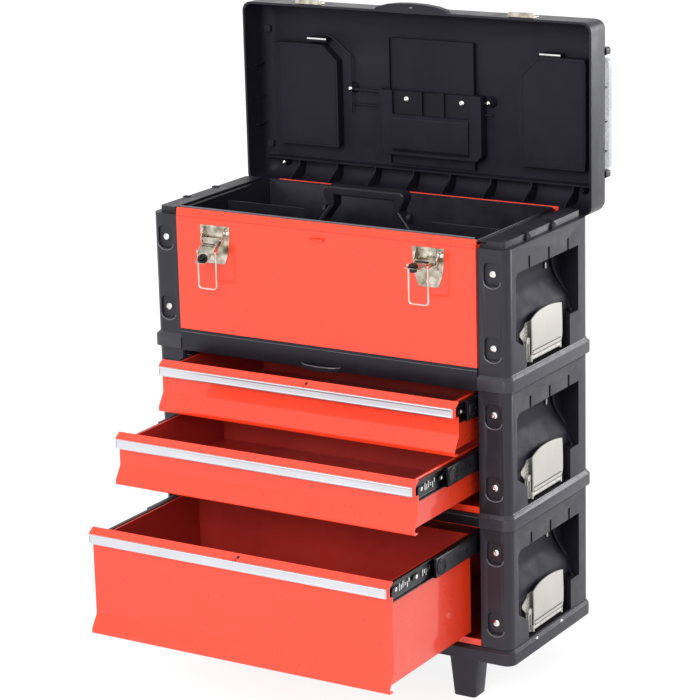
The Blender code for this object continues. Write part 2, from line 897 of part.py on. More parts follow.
def carry_handle():
    """Handle that lies in the lid's recess and pivots at its upper end."""
    y, z = lid_back - carry_pivot_out, lid_low + pocket_high - carry_pivot_drop
    half = pocket_half - lid_wall - fit_gap * 2
    low = z - carry_arm_length
    front, back = y - carry_thick / 2, y + carry_thick / 2
    body = prism(rounded((-half, low), (half, low + carry_bar), carry_round), "Y", front, back)
    for side in (-1, 1):
        inner, outer = side * (half - carry_arm_width), side * half
        start, end = min(inner, outer), max(inner, outer)
        add(body, block((start, front, low + carry_bar / 2), (end, back, z)))
        add(body, rod("X", (0, y, z), carry_thick / 2, start, end, pin_sides))
    inner = half - carry_arm_width / 2
    return add(body, rod("X", (0, y, z), carry_pin_radius, -pocket_half, -inner, pin_sides),
               rod("X", (0, y, z), carry_pin_radius, inner, pocket_half, pin_sides))


def lid_keeper():
    """Right hooked keeper on the lid's front wall, which the latch's bail catches."""
    base = lid_top + fit_gap
    start = lid_rim_y + keeper_start
    path = [(start + keeper_length, base), (start, base), (start, base + keeper_out),
            (start + keeper_hook, base + keeper_out)]
    outline = ribbon(path[::-1], keeper_sheet)
    half = keeper_width / 2
    return prism(outline, "X", latch_half_spacing - half, latch_half_spacing + half)


def latch_places():
    """Pivot of the front latches in Y and Z."""
    return -panel_proud - latch_pivot_out, frame_top - latch_top_drop - latch_pivot_drop


def latch_plate():
    """Right front latch plate, tapering downwards, with the two ears of the lever pivot."""
    y, z = latch_places()
    top = frame_top - latch_top_drop
    low = top - latch_height
    waist = top - latch_taper
    round_over = latch_low_half_width / 2
    outline = [(-latch_half_width, top), (-latch_half_width, waist),
               (-latch_low_half_width, low + round_over)]
    for i in range(1, arc_steps * 2):
        turn = math.pi * (1 + i / (arc_steps * 2))
        outline.append((latch_low_half_width * math.cos(turn),
                        low + round_over + round_over * math.sin(turn)))
    outline += [(latch_low_half_width, low + round_over), (latch_half_width, waist),
                (latch_half_width, top)]
    outline = [(x + latch_half_spacing, h) for x, h in outline]
    back = -panel_proud - fit_gap
    body = prism(outline, "Y", back - latch_sheet, back)
    for side in (-1, 1):
        near = latch_half_spacing + side * (lever_half_width + fit_gap)
        far = near + side * latch_ear_width
        start, end = min(near, far), max(near, far)
        add(body, block((start, back - latch_ear_out, z - latch_ear_half),
                        (end, back - latch_sheet / 2, z + latch_ear_half)))
        cut(body, rod("X", (0, y, z), lever_pin + fit_gap, start - overrun, end + overrun, pin_sides))
    return body


def lever_frame(angle, along, out):
    """Y and Z of a point on the lever: along from its pivot, out from its plate, at an angle up from flat."""
    y, z = latch_places()
    return (y - along * math.sin(angle) - out * math.cos(angle),
            z - along * math.cos(angle) + out * math.sin(angle))


def latch_lever(angle):
    """Right front latch lever, drawn folded down and then turned up by its angle."""
    y, z = latch_places()
    low, half = z - lever_length, lever_half_width
    middle = latch_half_spacing
    outline = rounded((middle - half, low), (middle + half, z), lever_round,
                      corners=(True, True, False, False))
    body = prism(outline, "Y", y - lever_sheet, y)
    add(body, rod("X", (0, y, z), lever_knuckle, middle - half, middle + half, pin_sides))
    ear = half + fit_gap + latch_ear_width
    add(body, rod("X", (0, y, z), lever_pin, middle - ear, middle + ear, pin_sides))
    boss = (0, y - lever_sheet / 2, z - bail_along)
    add(body, rod("X", boss, bail_boss, middle - half, middle + half, pin_sides))
    cut(body, rod("X", boss, bail_wire + fit_gap, middle - half - overrun, middle + half + overrun,
                  pin_sides))
    cut(body, rod("Y", (middle, 0, z - lock_along), lock_radius + fit_gap, y - lever_knuckle * 2,
                  y + lever_knuckle))
    return turn_about(body, "X", -angle, (0, y, z))


def lock_barrel(angle):
    """Lock barrel through the lever, with its key slot."""
    y, z = latch_places()
    middle = latch_half_spacing
    face = y - lever_sheet / 2 - lock_outside
    body = rod("Y", (middle, 0, z - lock_along), lock_radius, face, y - lever_sheet / 2 + lock_inside)
    key = z - lock_along
    cut(body, block((middle - key_slot_half_width, face - overrun, key - key_slot_half_height),
                    (middle + key_slot_half_width, face + key_slot_depth, key + key_slot_half_height)))
    return turn_about(body, "X", -angle, (0, y, z))


def wire_loop(corners, radius, bend):
    """Closed wire loop through the corners of a flat rectangle, bent round at each."""
    corner_points = []
    count = len(corners)
    for i in range(count):
        here, before, after = (Vector(corners[k % count]) for k in (i, i - 1, i + 1))
        start, end = (before - here).normalized() * bend, (after - here).normalized() * bend
        for j in range(arc_steps):
            turn = math.pi / 2 * j / (arc_steps - 1)
            corner_points.append(here + start * (1 - math.sin(turn)) + end * (1 - math.cos(turn)))
    first, second, third = (Vector(corner) for corner in corners[:3])
    normal = (second - first).cross(third - second).normalized()
    vertices, faces = [], []
    total = len(corner_points)
    for i in range(total):
        ahead = (corner_points[(i + 1) % total] - corner_points[i - 1]).normalized()
        side = normal.cross(ahead)
        for j in range(wire_sides):
            turn = 2 * math.pi * j / wire_sides
            across, up = radius * math.cos(turn), radius * math.sin(turn)
            vertices.append(corner_points[i] + side * across + normal * up)
    for i in range(total):
        k = (i + 1) % total
        for j in range(wire_sides):
            m = (j + 1) % wire_sides
            near, far = i * wire_sides, k * wire_sides
            faces.append((near + j, near + m, far + m, far + j))
    return solid(vertices, faces)


def latch_bail(angle):
    """Right bail, a wire loop that hangs through the lever's boss."""
    y, z = lever_frame(angle, bail_along, lever_sheet / 2)
    left, right = latch_half_spacing - bail_half_width, latch_half_spacing + bail_half_width
    corners = [(left, y, z), (right, y, z), (right, y, z - bail_length), (left, y, z - bail_length)]
    return wire_loop(corners, bail_wire, bail_corner)


def side_pivot(level):
    """X and Z of a side latch's pivot."""
    return half_width - side_pivot_inset, module_bottoms[level] + side_pivot_height


def side_latch_lever(level):
    """Right side latch lever: an arched plate with a knuckle and pins at its foot."""
    x, z = side_pivot(level)
    half, top = side_lever_half, module_bottoms[level] + side_lever_top
    far = body_centre + half - side_lever_taper / 2
    shoulder = z + side_ear_half + fit_gap * 2
    outline = [(body_centre - half, z), (far, z), (far, shoulder),
               (body_centre + half, shoulder + side_lever_taper), (body_centre + half, top)]
    for i in range(1, arc_steps * 2):
        share = 1 - 2 * i / (arc_steps * 2)
        outline.append((body_centre + half * share, top + side_lever_arch * (1 - share * share)))
    outline.append((body_centre - half, top))
    outer = half_width - side_lever_inset
    body = prism(outline, "X", outer - side_lever_sheet, outer)
    near = body_centre - half
    add(body, rod("Y", (x, 0, z), side_knuckle, near, far, pin_sides))
    ear = fit_gap + side_ear_width
    return add(body, rod("Y", (x, 0, z), side_pin, near - ear, far + ear, pin_sides))


def side_latch_mount(body, level):
    """Add to a right end frame its latch plate, with pivot ears, a pointed tongue and a wire link."""
    x, z = side_pivot(level)
    floor = half_width - recess_shallow
    high = module_bottoms[level] + side_plate_high
    near = body_centre - side_lever_half - fit_gap
    far = body_centre + side_lever_half - side_lever_taper / 2 + fit_gap
    tongue = module_bottoms[level] + side_tongue_height
    start, end = near - side_ear_width, far + side_ear_width
    low = z - side_ear_half
    outline = [(start, low), (end, low), (end, high), (start, high), (start, tongue + side_tongue_half),
               (start - side_tongue_reach, tongue), (start, tongue - side_tongue_half)]
    add(body, prism(outline, "X", floor - frame_wall / 2, floor + side_plate_sheet))
    for a, b in ((start, near), (far, end)):
        add(body, block((floor, a, z - side_ear_half), (x + side_knuckle, b, z + side_ear_half)))
        cut(body, rod("Y", (x, 0, z), side_pin + fit_gap, a - overrun, b + overrun, pin_sides))
    across = floor + side_plate_sheet + side_link_wire / 2
    bottom = module_bottoms[level]
    left, right = side_link_front, side_link_front + side_link_width
    corners = [(across, left, bottom + side_link_low), (across, right, bottom + side_link_low),
               (across, right, bottom + side_link_high), (across, left, bottom + side_link_high)]
    return add(body, wire_loop(corners, side_link_wire, (side_link_width - side_link_wire) / 2))


def tote_tray():
    """Lift-out tray with end flanges that hang on the end frames' ledges."""
    body = open_box((-tray_half, tray_front, tray_floor), (tray_half, tray_rear, tray_wall_top), tray_wall)
    rim = ledge_top + fit_gap
    for side in (-1, 1):
        inner, outer = side * (tray_half - tray_wall / 2), side * tray_flange_half
        add(body, block((min(inner, outer), tray_front + corner_radius, rim),
                        (max(inner, outer), tray_rear - corner_radius, rim + tray_wall)))
        inner, outer = side * divider_start, side * (tray_half - tray_wall / 2)
        add(body, block((min(inner, outer), body_centre - tray_wall / 2, tray_floor + tray_wall / 2),
                        (max(inner, outer), body_centre + tray_wall / 2, divider_top)))
    return body


def tote_handle():
    """Arched handle of the tray: a bar on two legs that splay out to the tray's floor."""
    foot = tray_floor + tray_wall + fit_gap
    inner, outer = handle_leg_inner, handle_leg_inner + handle_leg
    splayed = outer + handle_splay
    right = [(inner + handle_splay, foot), (splayed, foot), (splayed, handle_splay_bottom),
             (outer, handle_splay_top), (handle_half, handle_top - handle_bar),
             (handle_half, handle_top - handle_corner), (handle_half - handle_corner, handle_top)]
    under = [(inner, handle_top - handle_bar), (inner, handle_splay_top),
             (inner + handle_splay, handle_splay_bottom)]
    outline = right + [(-x, z) for x, z in right[::-1]]
    outline += [(-x, z) for x, z in under[::-1]] + under
    start, end = body_centre - handle_half_depth, body_centre + handle_half_depth
    return prism(outline, "Y", start, end)


def base_frame():
    """Wheeled base: flared skirt, rear deck and axle lugs."""
    rings = ((foot_height, collar_flare), (base_top - collar_lead, collar_flare), (base_top, 0.0))
    outer = []
    for z, grow in rings:
        outline = rounded((-half_width - grow, -grow), (half_width + grow, body_depth), corner_radius)
        outer.append([(x, y, z) for x, y in outline])
    body = loft(outer)
    cut(body, block((-half_width + base_wall, base_wall, foot_height - overrun),
                    (half_width - base_wall, body_depth - base_wall, base_top - base_wall)))
    deck = block((-deck_half, body_depth - base_wall / 2, foot_height), (deck_half, deck_rear, base_top))
    add(body, deck)
    cut(body, block((-deck_half + base_wall, body_depth + base_wall, foot_height - overrun),
                    (deck_half - base_wall, deck_rear - base_wall, base_top - base_wall)))
    low = wheel_radius - axle_radius - lug_margin
    for side in (-1, 1):
        inner, outer = side * (deck_half - lug_width), side * deck_half
        start, end = min(inner, outer), max(inner, outer)
        outline = rounded((wheel_y - lug_half_depth, low),
                          (wheel_y + lug_half_depth, base_top - base_wall / 2),
                          lug_margin, corners=(True, True, False, False))
        add(body, prism(outline, "X", start, end))
        cut(body, rod("X", (0, wheel_y, wheel_radius), axle_radius + axle_clearance, start - overrun,
                      end + overrun))
    foot = front_foot()
    return add(body, foot, mirrored(foot))


def front_foot():
    """Right front foot: a tapered block that stands up inside the base's skirt."""
    top = base_top - base_wall / 2
    levels = ((0.0, foot_bottom_half, foot_bottom_half_depth),
              (foot_height, foot_top_half, foot_top_half_depth), (top, foot_top_half, foot_top_half_depth))
    rings = []
    for z, a, b in levels:
        outline = rounded((foot_centre - a, foot_middle - b), (foot_centre + a, foot_middle + b),
                          foot_round, foot_arc_steps)
        rings.append([(x, y, z) for x, y in outline])
    return loft(rings)


def axle():
    """Wheel axle with a head at each end."""
    end = wheel_inside + wheel_width + fit_gap
    profile = [(axle_head_radius, -end - axle_head), (axle_head_radius, -end), (axle_radius, -end),
               (axle_radius, end), (axle_head_radius, end), (axle_head_radius, end + axle_head)]
    return turned(profile, "X", (0, wheel_y, wheel_radius))


def tyre():
    """Right tyre, rounded at its shoulders."""
    inner = wheel_radius - tyre_thickness
    start, end = wheel_inside, wheel_inside + wheel_width
    side = tyre_round / 2
    shoulder = wheel_radius - side / 2
    profile = [(inner, start), (wheel_radius - tyre_round, start), (shoulder, start + side / 2),
               (wheel_radius, start + tyre_round), (wheel_radius, end - tyre_round),
               (shoulder, end - side / 2), (wheel_radius - tyre_round, end), (inner, end)]
    return ring_wheel(profile, "X", (0, wheel_y, wheel_radius), wheel_sides)


def hub():
    """Right hub: rim, thin web and boss in one turned piece."""
    outer = wheel_radius - tyre_thickness - fit_gap
    bore = axle_radius + axle_clearance
    start, end = wheel_inside + fit_gap, wheel_inside + wheel_width
    middle = (start + end) / 2
    rim = outer - base_wall
    profile = [(bore, start), (hub_boss_radius, start), (hub_boss_radius, middle - hub_web / 2),
               (rim, middle - hub_web / 2), (rim, start), (outer, start), (outer, end), (rim, end),
               (rim, middle + hub_web / 2), (hub_boss_radius, middle + hub_web / 2), (hub_boss_radius, end),
               (bore, end)]
    return ring_wheel(profile, "X", (0, wheel_y, wheel_radius), wheel_sides)


def handle_sleeves():
    """Outer tubes of the pull handle, joined by a bracket that bears on the cabinet's back."""
    back = body_depth - cabinet_rear + fit_gap
    low, high = brace_low, brace_low + brace_height
    body = block((-brace_half_width, back, low), (brace_half_width, back + brace_sheet, high))
    for side in (-1, 1):
        x = side * sleeve_half_spacing
        add(body, block((x - brace_arm_half, back + brace_sheet / 2, low),
                        (x + brace_arm_half, sleeve_y - sleeve_radius / 2, high)))
        add(body, rod("Z", (x, sleeve_y, 0), sleeve_radius, base_top + fit_gap, sleeve_top, tube_sides))
        cut(body, rod("Z", (x, sleeve_y, 0), sleeve_radius - sleeve_wall, base_top + sleeve_wall * 2,
                      sleeve_top + overrun, tube_sides))
    return body


def pull_tube():
    """Inner frame of the pull handle: two tubes joined by a bar inside the grip."""
    radius = sleeve_radius - sleeve_wall - sleeve_gap
    low, high = grip_base + grip_bar_rise, grip_base + grip_bar_rise + grip_bar_height
    half = grip_bar_depth / 2
    body = block((-sleeve_half_spacing, sleeve_y - half, low), (sleeve_half_spacing, sleeve_y + half, high))
    for side in (-1, 1):
        centre = (side * sleeve_half_spacing, sleeve_y, 0)
        add(body, rod("Z", centre, radius, tube_foot, high, tube_sides))
        cut(body, rod("Z", centre, radius - tube_wall, tube_foot - overrun, low - overrun, tube_sides))
    return body


def pull_grip():
    """Grip over the tubes and their bar, with a well for the release button."""
    half = sleeve_half_spacing + grip_overhang
    outline = rounded((-half, sleeve_y - grip_depth / 2), (half, sleeve_y + grip_depth / 2), grip_round)
    body = prism(outline, "Z", grip_base, grip_base + grip_height)
    radius = sleeve_radius - sleeve_wall - sleeve_gap + fit_gap
    socket = grip_base + grip_bar_rise + grip_bar_height + fit_gap
    for side in (-1, 1):
        centre = (side * sleeve_half_spacing, sleeve_y, 0)
        cut(body, rod("Z", centre, radius, grip_base - overrun, socket, tube_sides))
    half = grip_bar_depth / 2 + fit_gap
    cut(body, block((-sleeve_half_spacing, sleeve_y - half, grip_base - overrun),
                    (sleeve_half_spacing, sleeve_y + half, socket)))
    top = grip_base + grip_height
    reach = fit_gap
    return cut(body, block((-button_half_width - reach, sleeve_y - button_half_depth - reach,
                            top - button_deep - button_proud), (button_half_width + reach,
                            sleeve_y + button_half_depth + reach, top + overrun)))


def release_button():
    """Push button in the top of the grip."""
    top = grip_base + grip_height
    outline = rounded((-button_half_width, sleeve_y - button_half_depth),
                      (button_half_width, sleeve_y + button_half_depth), button_round)
    return prism(outline, "Z", top - button_deep + fit_gap, top + button_proud)


def build():
    for existing in list(bpy.data.objects):
        bpy.data.objects.remove(existing)
    red = material("red_painted_steel", (0.80, 0.065, 0.035), 0.32)
    zinc = material("zinc_plated_steel", (0.55, 0.55, 0.56), 0.35, 0.9)
    nickel = material("nickel_plated_steel", (0.72, 0.70, 0.66), 0.25, 1.0)
    aluminium = material("brushed_aluminium", (0.80, 0.80, 0.80), 0.35, 1.0)
    black = material("black_moulding", (0.035, 0.035, 0.038), 0.5)
    grey = material("charcoal_moulding", (0.055, 0.055, 0.060), 0.55)
    rubber = material("tyre_rubber", (0.02, 0.02, 0.02), 0.8)
    clear = material("clear_plastic", (0.80, 0.84, 0.86), 0.12)
    dark = material("dark_lock_metal", (0.05, 0.05, 0.05), 0.35, 0.8)

    root = joint("tool_box", (0, 0, 0), None)
    root.location = (0, origin_shift, 0)

    # Base, feet and wheels
    node("base_frame", base_frame(), grey, root)
    node("wheel_axle", axle(), zinc, root, True)
    for name in ("left", "right"):
        hinge = joint("wheel_" + name + "_axis", (0, wheel_y, wheel_radius), root)
        pieces = [tyre(), hub()]
        if name == "left":
            pieces = [mirror_over(piece) for piece in pieces]
        node(name + "_tyre", pieces[0], rubber, hinge, True)
        node(name + "_hub", pieces[1], grey, hinge, True)

    # Modules
    for level, name in enumerate(("bottom", "middle", "top")):
        right = end_frame(level)
        node(name + "_end_frame_left", mirrored(right), grey, root)
        node(name + "_end_frame_right", right, grey, root)
    rear = body_depth - cabinet_rear
    upper_top = top_bottom - drawer_top_gap
    middle_top = upper_top - drawer_pitch
    deep_top = module_bottoms[1] - deep_front_top_gap
    low = base_top + seam_gap
    body = cabinet((-side_half, cabinet_front, low),
                   (side_half, rear, module_bottoms[1] - cabinet_gap), [deep_top])
    node("bottom_cabinet", body, red, root)
    low = module_bottoms[1] + seam_gap + middle_rail_height + fit_gap
    body = cabinet((-side_half, cabinet_front, low), (side_half, rear, module_bottoms[2] - cabinet_gap),
                   [upper_top, middle_top])
    node("middle_cabinet", body, red, root)
    node("top_box_shell", top_box_shell(), red, root)
    node("top_front_rail", top_front_rail(), black, root)
    node("middle_front_rail", rail_bar(module_bottoms[1] + seam_gap, middle_rail_height), black, root)

    # Drawers and runners
    drawers = (("upper", upper_top, drawer_front_height, upper_extension, drawer_side_drop),
               ("middle", middle_top, drawer_front_height, middle_extension, drawer_side_drop),
               ("deep", deep_top, deep_front_height, deep_extension, deep_side_drop))
    for name, top, height, extension, side_drop in drawers:
        centre = top - runner_drop
        slide = joint(name + "_carrier_slide", (0, -extension / 2, centre), root)
        carrier = runner_carrier(top, extension)
        node(name + "_carrier_left", mirrored(carrier), zinc, slide)
        node(name + "_carrier_right", carrier, zinc, slide)
        slide = joint(name + "_drawer_slide", (0, -extension, centre), root)
        node(name + "_drawer_box", drawer_box(top, height, extension, side_drop), red, slide)
        node(name + "_drawer_front", drawer_front(top, height, extension), red, slide)
        node(name + "_drawer_pull", drawer_pull(top, extension), aluminium, slide)

    # Lid and what rides on it
    node("lid_hinge_leaf", hinge_leaf(), zinc, root)
    pin = rod("X", (0, hinge_y, hinge_z), hinge_pin_radius, -hinge_half_length, hinge_half_length, pin_sides)
    node("lid_hinge_pin", pin, zinc, root, True)
    lid = joint("lid_axis", (0, hinge_y, hinge_z), root)
    node("lid_shell", lid_shell(), black, lid)
    keeper = lid_keeper()
    node("left_keeper", mirrored(keeper), nickel, lid)
    node("right_keeper", keeper, nickel, lid)
    out, above, middle = cover_places()
    cover = organizer_cover()
    copy = mirrored(cover)
    node("left_organizer_cover", copy, clear, joint("left_cover_axis", (-middle, out, above), lid))
    node("right_organizer_cover", cover, clear, joint("right_cover_axis", (middle, out, above), lid))
    pivot = (0, lid_back - carry_pivot_out, lid_low + pocket_high - carry_pivot_drop)
    node("lid_handle", carry_handle(), grey, joint("lid_handle_axis", pivot, lid))

    # Front latches
    plate = latch_plate()
    shifts = {-1: (0.0, 0.0), 1: (-right_latch_set_in, right_latch_rise)}
    node("left_latch_plate", mirrored(plate), nickel, root)
    plate.data.transform(Matrix.Translation((-right_latch_set_in, 0, right_latch_rise)))
    node("right_latch_plate", plate, nickel, root)
    y, z = latch_places()
    for name, side, angle in (("left", -1, lever_angle_left), ("right", 1, lever_angle_right)):
        pieces = [latch_lever(angle), latch_bail(angle), lock_barrel(angle)]
        if side < 0:
            pieces = [mirror_over(piece) for piece in pieces]
        set_in, rise = shifts[side]
        for piece in pieces:
            piece.data.transform(Matrix.Translation((set_in, 0, rise)))
        x = side * latch_half_spacing + set_in
        axis = joint(name + "_latch_axis", (x, y, z + rise), root)
        node(name + "_latch_lever", pieces[0], nickel, axis)
        bail_y, bail_z = lever_frame(angle, bail_along, lever_sheet / 2)
        bail_axis = joint(name + "_bail_axis", (x, bail_y, bail_z + rise), axis)
        node(name + "_bail", pieces[1], nickel, bail_axis, True)
        lock_y, lock_z = lever_frame(angle, lock_along, lever_sheet / 2)
        lock_axis = joint(name + "_lock_axis", (x, lock_y, lock_z + rise), axis)
        node(name + "_latch_lock", pieces[2], dark, lock_axis, True)

    # Side latches
    for level, name in enumerate(("bottom", "middle", "top")):
        x, z = side_pivot(level)
        lever = side_latch_lever(level)
        copy = mirrored(lever)
        axis = joint(name + "_side_latch_left_axis", (-x, body_centre, z), root)
        node(name + "_side_latch_left", copy, nickel, axis)
        axis = joint(name + "_side_latch_right_axis", (x, body_centre, z), root)
        node(name + "_side_latch_right", lever, nickel, axis)

    # Tote tray
    lift = joint("tray_lift", (0, body_centre, tray_floor), root)
    node("tote_tray", tote_tray(), black, lift)
    node("tote_handle", tote_handle(), black, lift)

    # Pull handle
    node("handle_sleeves", handle_sleeves(), zinc, root)
    pull = joint("pull_handle_slide", (0, sleeve_y, grip_base), root)
    node("pull_tube", pull_tube(), aluminium, pull, True)
    node("pull_grip", pull_grip(), black, pull)
    push = joint("release_button_push", (0, sleeve_y, grip_base + grip_height), pull)
    node("release_button", release_button(), red, push)


build()
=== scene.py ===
"""Looks of the rolling tool box: end frames, red sheet metal, drawers, lid, tray, latches and running gear.

Lengths in this file are millimetres in the box's own frame: X to the right from the middle, Y to the rear
from the front face of the corner posts, Z up from the floor. place() turns them into metres in the loaded
frame.
"""
import json
import math

import bmesh
import bpy
import numpy as np
from mathutils import Matrix, Vector

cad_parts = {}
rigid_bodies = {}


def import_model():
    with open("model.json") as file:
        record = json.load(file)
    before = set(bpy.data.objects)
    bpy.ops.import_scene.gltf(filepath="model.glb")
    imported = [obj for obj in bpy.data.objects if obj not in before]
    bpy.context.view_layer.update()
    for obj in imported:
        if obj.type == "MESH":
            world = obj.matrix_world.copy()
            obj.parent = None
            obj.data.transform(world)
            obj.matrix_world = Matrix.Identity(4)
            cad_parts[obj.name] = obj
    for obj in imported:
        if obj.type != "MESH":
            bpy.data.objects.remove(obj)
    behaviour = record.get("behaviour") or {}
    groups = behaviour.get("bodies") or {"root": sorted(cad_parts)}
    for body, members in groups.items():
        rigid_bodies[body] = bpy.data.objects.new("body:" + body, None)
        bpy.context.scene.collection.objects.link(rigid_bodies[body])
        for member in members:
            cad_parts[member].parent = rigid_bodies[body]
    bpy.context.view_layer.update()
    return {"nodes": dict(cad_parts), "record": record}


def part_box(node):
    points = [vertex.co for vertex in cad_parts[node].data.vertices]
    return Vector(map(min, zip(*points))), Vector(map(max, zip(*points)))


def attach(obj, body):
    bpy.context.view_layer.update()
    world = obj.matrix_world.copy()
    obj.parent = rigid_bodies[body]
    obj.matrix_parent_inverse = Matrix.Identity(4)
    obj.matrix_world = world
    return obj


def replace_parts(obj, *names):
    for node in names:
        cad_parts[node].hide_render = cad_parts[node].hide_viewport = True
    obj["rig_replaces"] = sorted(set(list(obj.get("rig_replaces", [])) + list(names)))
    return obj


bl_info = {
    "name": "Rolling tool box",
    "version": (1, 0, 0),
    "blender": (4, 5, 0),
    "location": "View3D > Sidebar > Tool box",
    "description": "Builds the rolling tool box's pieces and finishes, and the studio around it",
    "category": "Add Mesh",
}

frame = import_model()
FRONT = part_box("bottom_end_frame_right")[0].y
MM = 0.001
BODY_OF = {node: body for body, nodes in frame["record"]["behaviour"]["bodies"].items() for node in nodes}
SLOT_OF = {part["node"]: part["material_slot"] for part in frame["record"]["subparts"]}
SIDES = (("left", -1), ("right", 1))
# Name of a module and the height of its end frames' foot
MODULES = (("bottom", 54.0), ("middle", 226.5), ("top", 399.0))
# Name of a drawer, its top, its height, how far it stands out, its sides' drop below its top, hasp tab or not
DRAWERS = (("upper", 396.5, 65.0, 47.5, 5.0, True), ("middle", 328.5, 65.0, 144.9, 5.0, False),
           ("deep", 224.9, 135.0, 208.1, 8.0, True))
PANEL_HALF = 212.7
SCREW_HEIGHTS = (52.0, 142.5)
LID_WALL = 271.4
AXLE = (0.0, 263.0, 46.0)
TUBE = (95.0, 293.0)


def place(points):
    """Millimetres in the box's frame to metres in the loaded frame."""
    points = np.asarray(points, float).reshape(-1, 3) * MM
    points[:, 1] += FRONT
    return points


# Shader maths


class Value:
    """A node socket that takes + and *: each one adds the Math node of that name."""

    def __init__(self, tree, socket):
        self.tree, self.socket = tree, socket

    def math(self, operation, *others):
        return graph_node(self.tree, "Math", {"operation": operation}, dict(enumerate((self,) + others)))

    def __add__(self, other):
        return self.math("ADD", other)

    def __mul__(self, other):
        return self.math("MULTIPLY", other)


def graph_node(tree, kind, settings=None, sockets=None, out=0):
    """Add a node: its own settings first, then its sockets' values or links by name or index."""
    made = tree.nodes.new("ShaderNode" + kind)
    for key, value in (settings or {}).items():
        setattr(made, key, value)
    for key, value in (sockets or {}).items():
        if isinstance(value, Value):
            tree.links.new(value.socket, made.inputs[key])
        else:
            made.inputs[key].default_value = value
    return Value(tree, made.outputs[out])


class Finish:
    """A material in the making: its Principled shader and the nodes that vary it."""

    def __init__(self, name):
        self.material = bpy.data.materials.new(name)
        self.material.use_nodes = True
        self.tree = self.material.node_tree
        self.shader = self.tree.nodes["Principled BSDF"]
        self.position = self.node("TexCoord", out=3)

    def node(self, kind, settings=None, sockets=None, out=0):
        return graph_node(self.tree, kind, settings, sockets, out)

    def fixed(self, **values):
        """Constant sockets; an underscore in a name stands for a space."""
        for key, value in values.items():
            self.shader.inputs[key.replace("_", " ")].default_value = value

    def feed(self, **links):
        for key, value in links.items():
            self.tree.links.new(value.socket, self.shader.inputs[key.replace("_", " ")])

    def noise(self, scale, detail=2.0, stretch=(1, 1, 1)):
        """Fractal noise between 0 and 1 in object space, stretched along an axis by a small factor there."""
        mapped = self.node("Mapping", None, {"Vector": self.position, "Scale": stretch})
        return self.node("TexNoise", None, {"Vector": mapped, "Scale": scale, "Detail": detail})

    def between(self, value, low, high):
        """Spread the middle of a noise, 0.3 to 0.7, over a range, clamped."""
        sockets = {"Value": value, "From Min": 0.3, "From Max": 0.7, "To Min": low, "To Max": high}
        return self.node("MapRange", None, sockets)

    def colours(self, factor, first, second):
        """Base colour drifting from one colour to another with a noise."""
        sockets = {0: self.between(factor, 0.0, 1.0), 6: (*first, 1), 7: (*second, 1)}
        self.feed(Base_Color=self.node("Mix", {"data_type": "RGBA"}, sockets, 2))

    def bump(self, height, strength, distance):
        """Normal raised by a height value."""
        sockets = {"Height": height, "Strength": strength, "Distance": distance}
        self.feed(Normal=self.node("Bump", None, sockets))


def paint(name, colour, deep, roughness=0.30):
    """Powder coat: a slow drift of colour, orange peel in the normal and small changes of gloss."""
    finish = Finish(name)
    finish.colours(finish.noise(7.0, 3.0), colour, deep)
    finish.feed(Roughness=finish.between(finish.noise(60.0), roughness - 0.04, roughness + 0.08))
    finish.bump(finish.noise(420.0) + finish.noise(16.0, 1.0) * 1.5, 0.07, 0.0005)
    finish.fixed(Coat_Weight=0.55, Coat_Roughness=0.05)
    return finish.material


def moulding(name, colour, pale, roughness=0.42, sheen=0.5):
    """Moulded plastic: spark-eroded grain, flow marks and rubbed paler patches."""
    finish = Finish(name)
    finish.fixed(Specular_IOR_Level=sheen, Specular_Tint=(0.90, 0.89, 1.0, 1.0))
    flow = finish.noise(11.0, 3.0, (1, 1, 0.35))
    rub = finish.noise(48.0, 4.0)
    finish.colours(flow * 0.65 + rub * 0.35, colour, pale)
    finish.feed(Roughness=finish.between(rub, roughness - 0.05, roughness + 0.08))
    pits = finish.node("TexVoronoi", None, {"Vector": finish.position, "Scale": 950.0})
    finish.bump(pits + finish.noise(500.0) * 0.6, 0.22, 0.0004)
    return finish.material


def plated(name, colour, dull, roughness, cloud=24.0, metal=1.0):
    """Plated steel: clouded gloss, faint drawing marks and tarnish."""
    finish = Finish(name)
    smoke = finish.noise(cloud, 4.0)
    marks = finish.noise(260.0, 2.0, (1, 1, 0.08))
    finish.colours(smoke, colour, dull)
    finish.feed(Roughness=finish.between(smoke * 0.5 + marks * 0.5, roughness, roughness + 0.16))
    finish.bump(marks + smoke * 2.0, 0.10, 0.0003)
    finish.fixed(Metallic=metal)
    return finish.material


def brushed(name, colour, dull, roughness, stretch):
    """Brushed or drawn aluminium: fine lines along one axis."""
    finish = Finish(name)
    lines = finish.noise(900.0, 3.0, stretch)
    smoke = finish.noise(14.0, 2.0)
    finish.colours(lines * 0.6 + smoke * 0.4, colour, dull)
    finish.feed(Roughness=finish.between(lines, roughness, roughness + 0.15))
    finish.bump(lines, 0.16, 0.0002)
    finish.fixed(Metallic=1.0)
    return finish.material


def rubber(name):
    """Tyre rubber: matt, dusty in patches."""
    finish = Finish(name)
    dust = finish.noise(30.0, 5.0)
    finish.colours(dust, (0.012, 0.012, 0.013), (0.035, 0.034, 0.033))
    finish.feed(Roughness=finish.between(dust, 0.62, 0.85))
    finish.bump(finish.noise(300.0, 3.0), 0.25, 0.0005)
    return finish.material


def clear_cover(name):
    """Clear moulded polystyrene, faintly hazed."""
    finish = Finish(name)
    haze = finish.noise(40.0, 3.0)
    finish.colours(haze, (0.80, 0.84, 0.86), (0.70, 0.75, 0.78))
    finish.feed(Roughness=finish.between(haze, 0.06, 0.16))
    finish.feed(Alpha=finish.between(haze, 0.34, 0.44))
    finish.bump(haze, 0.05, 0.0005)
    return finish.material


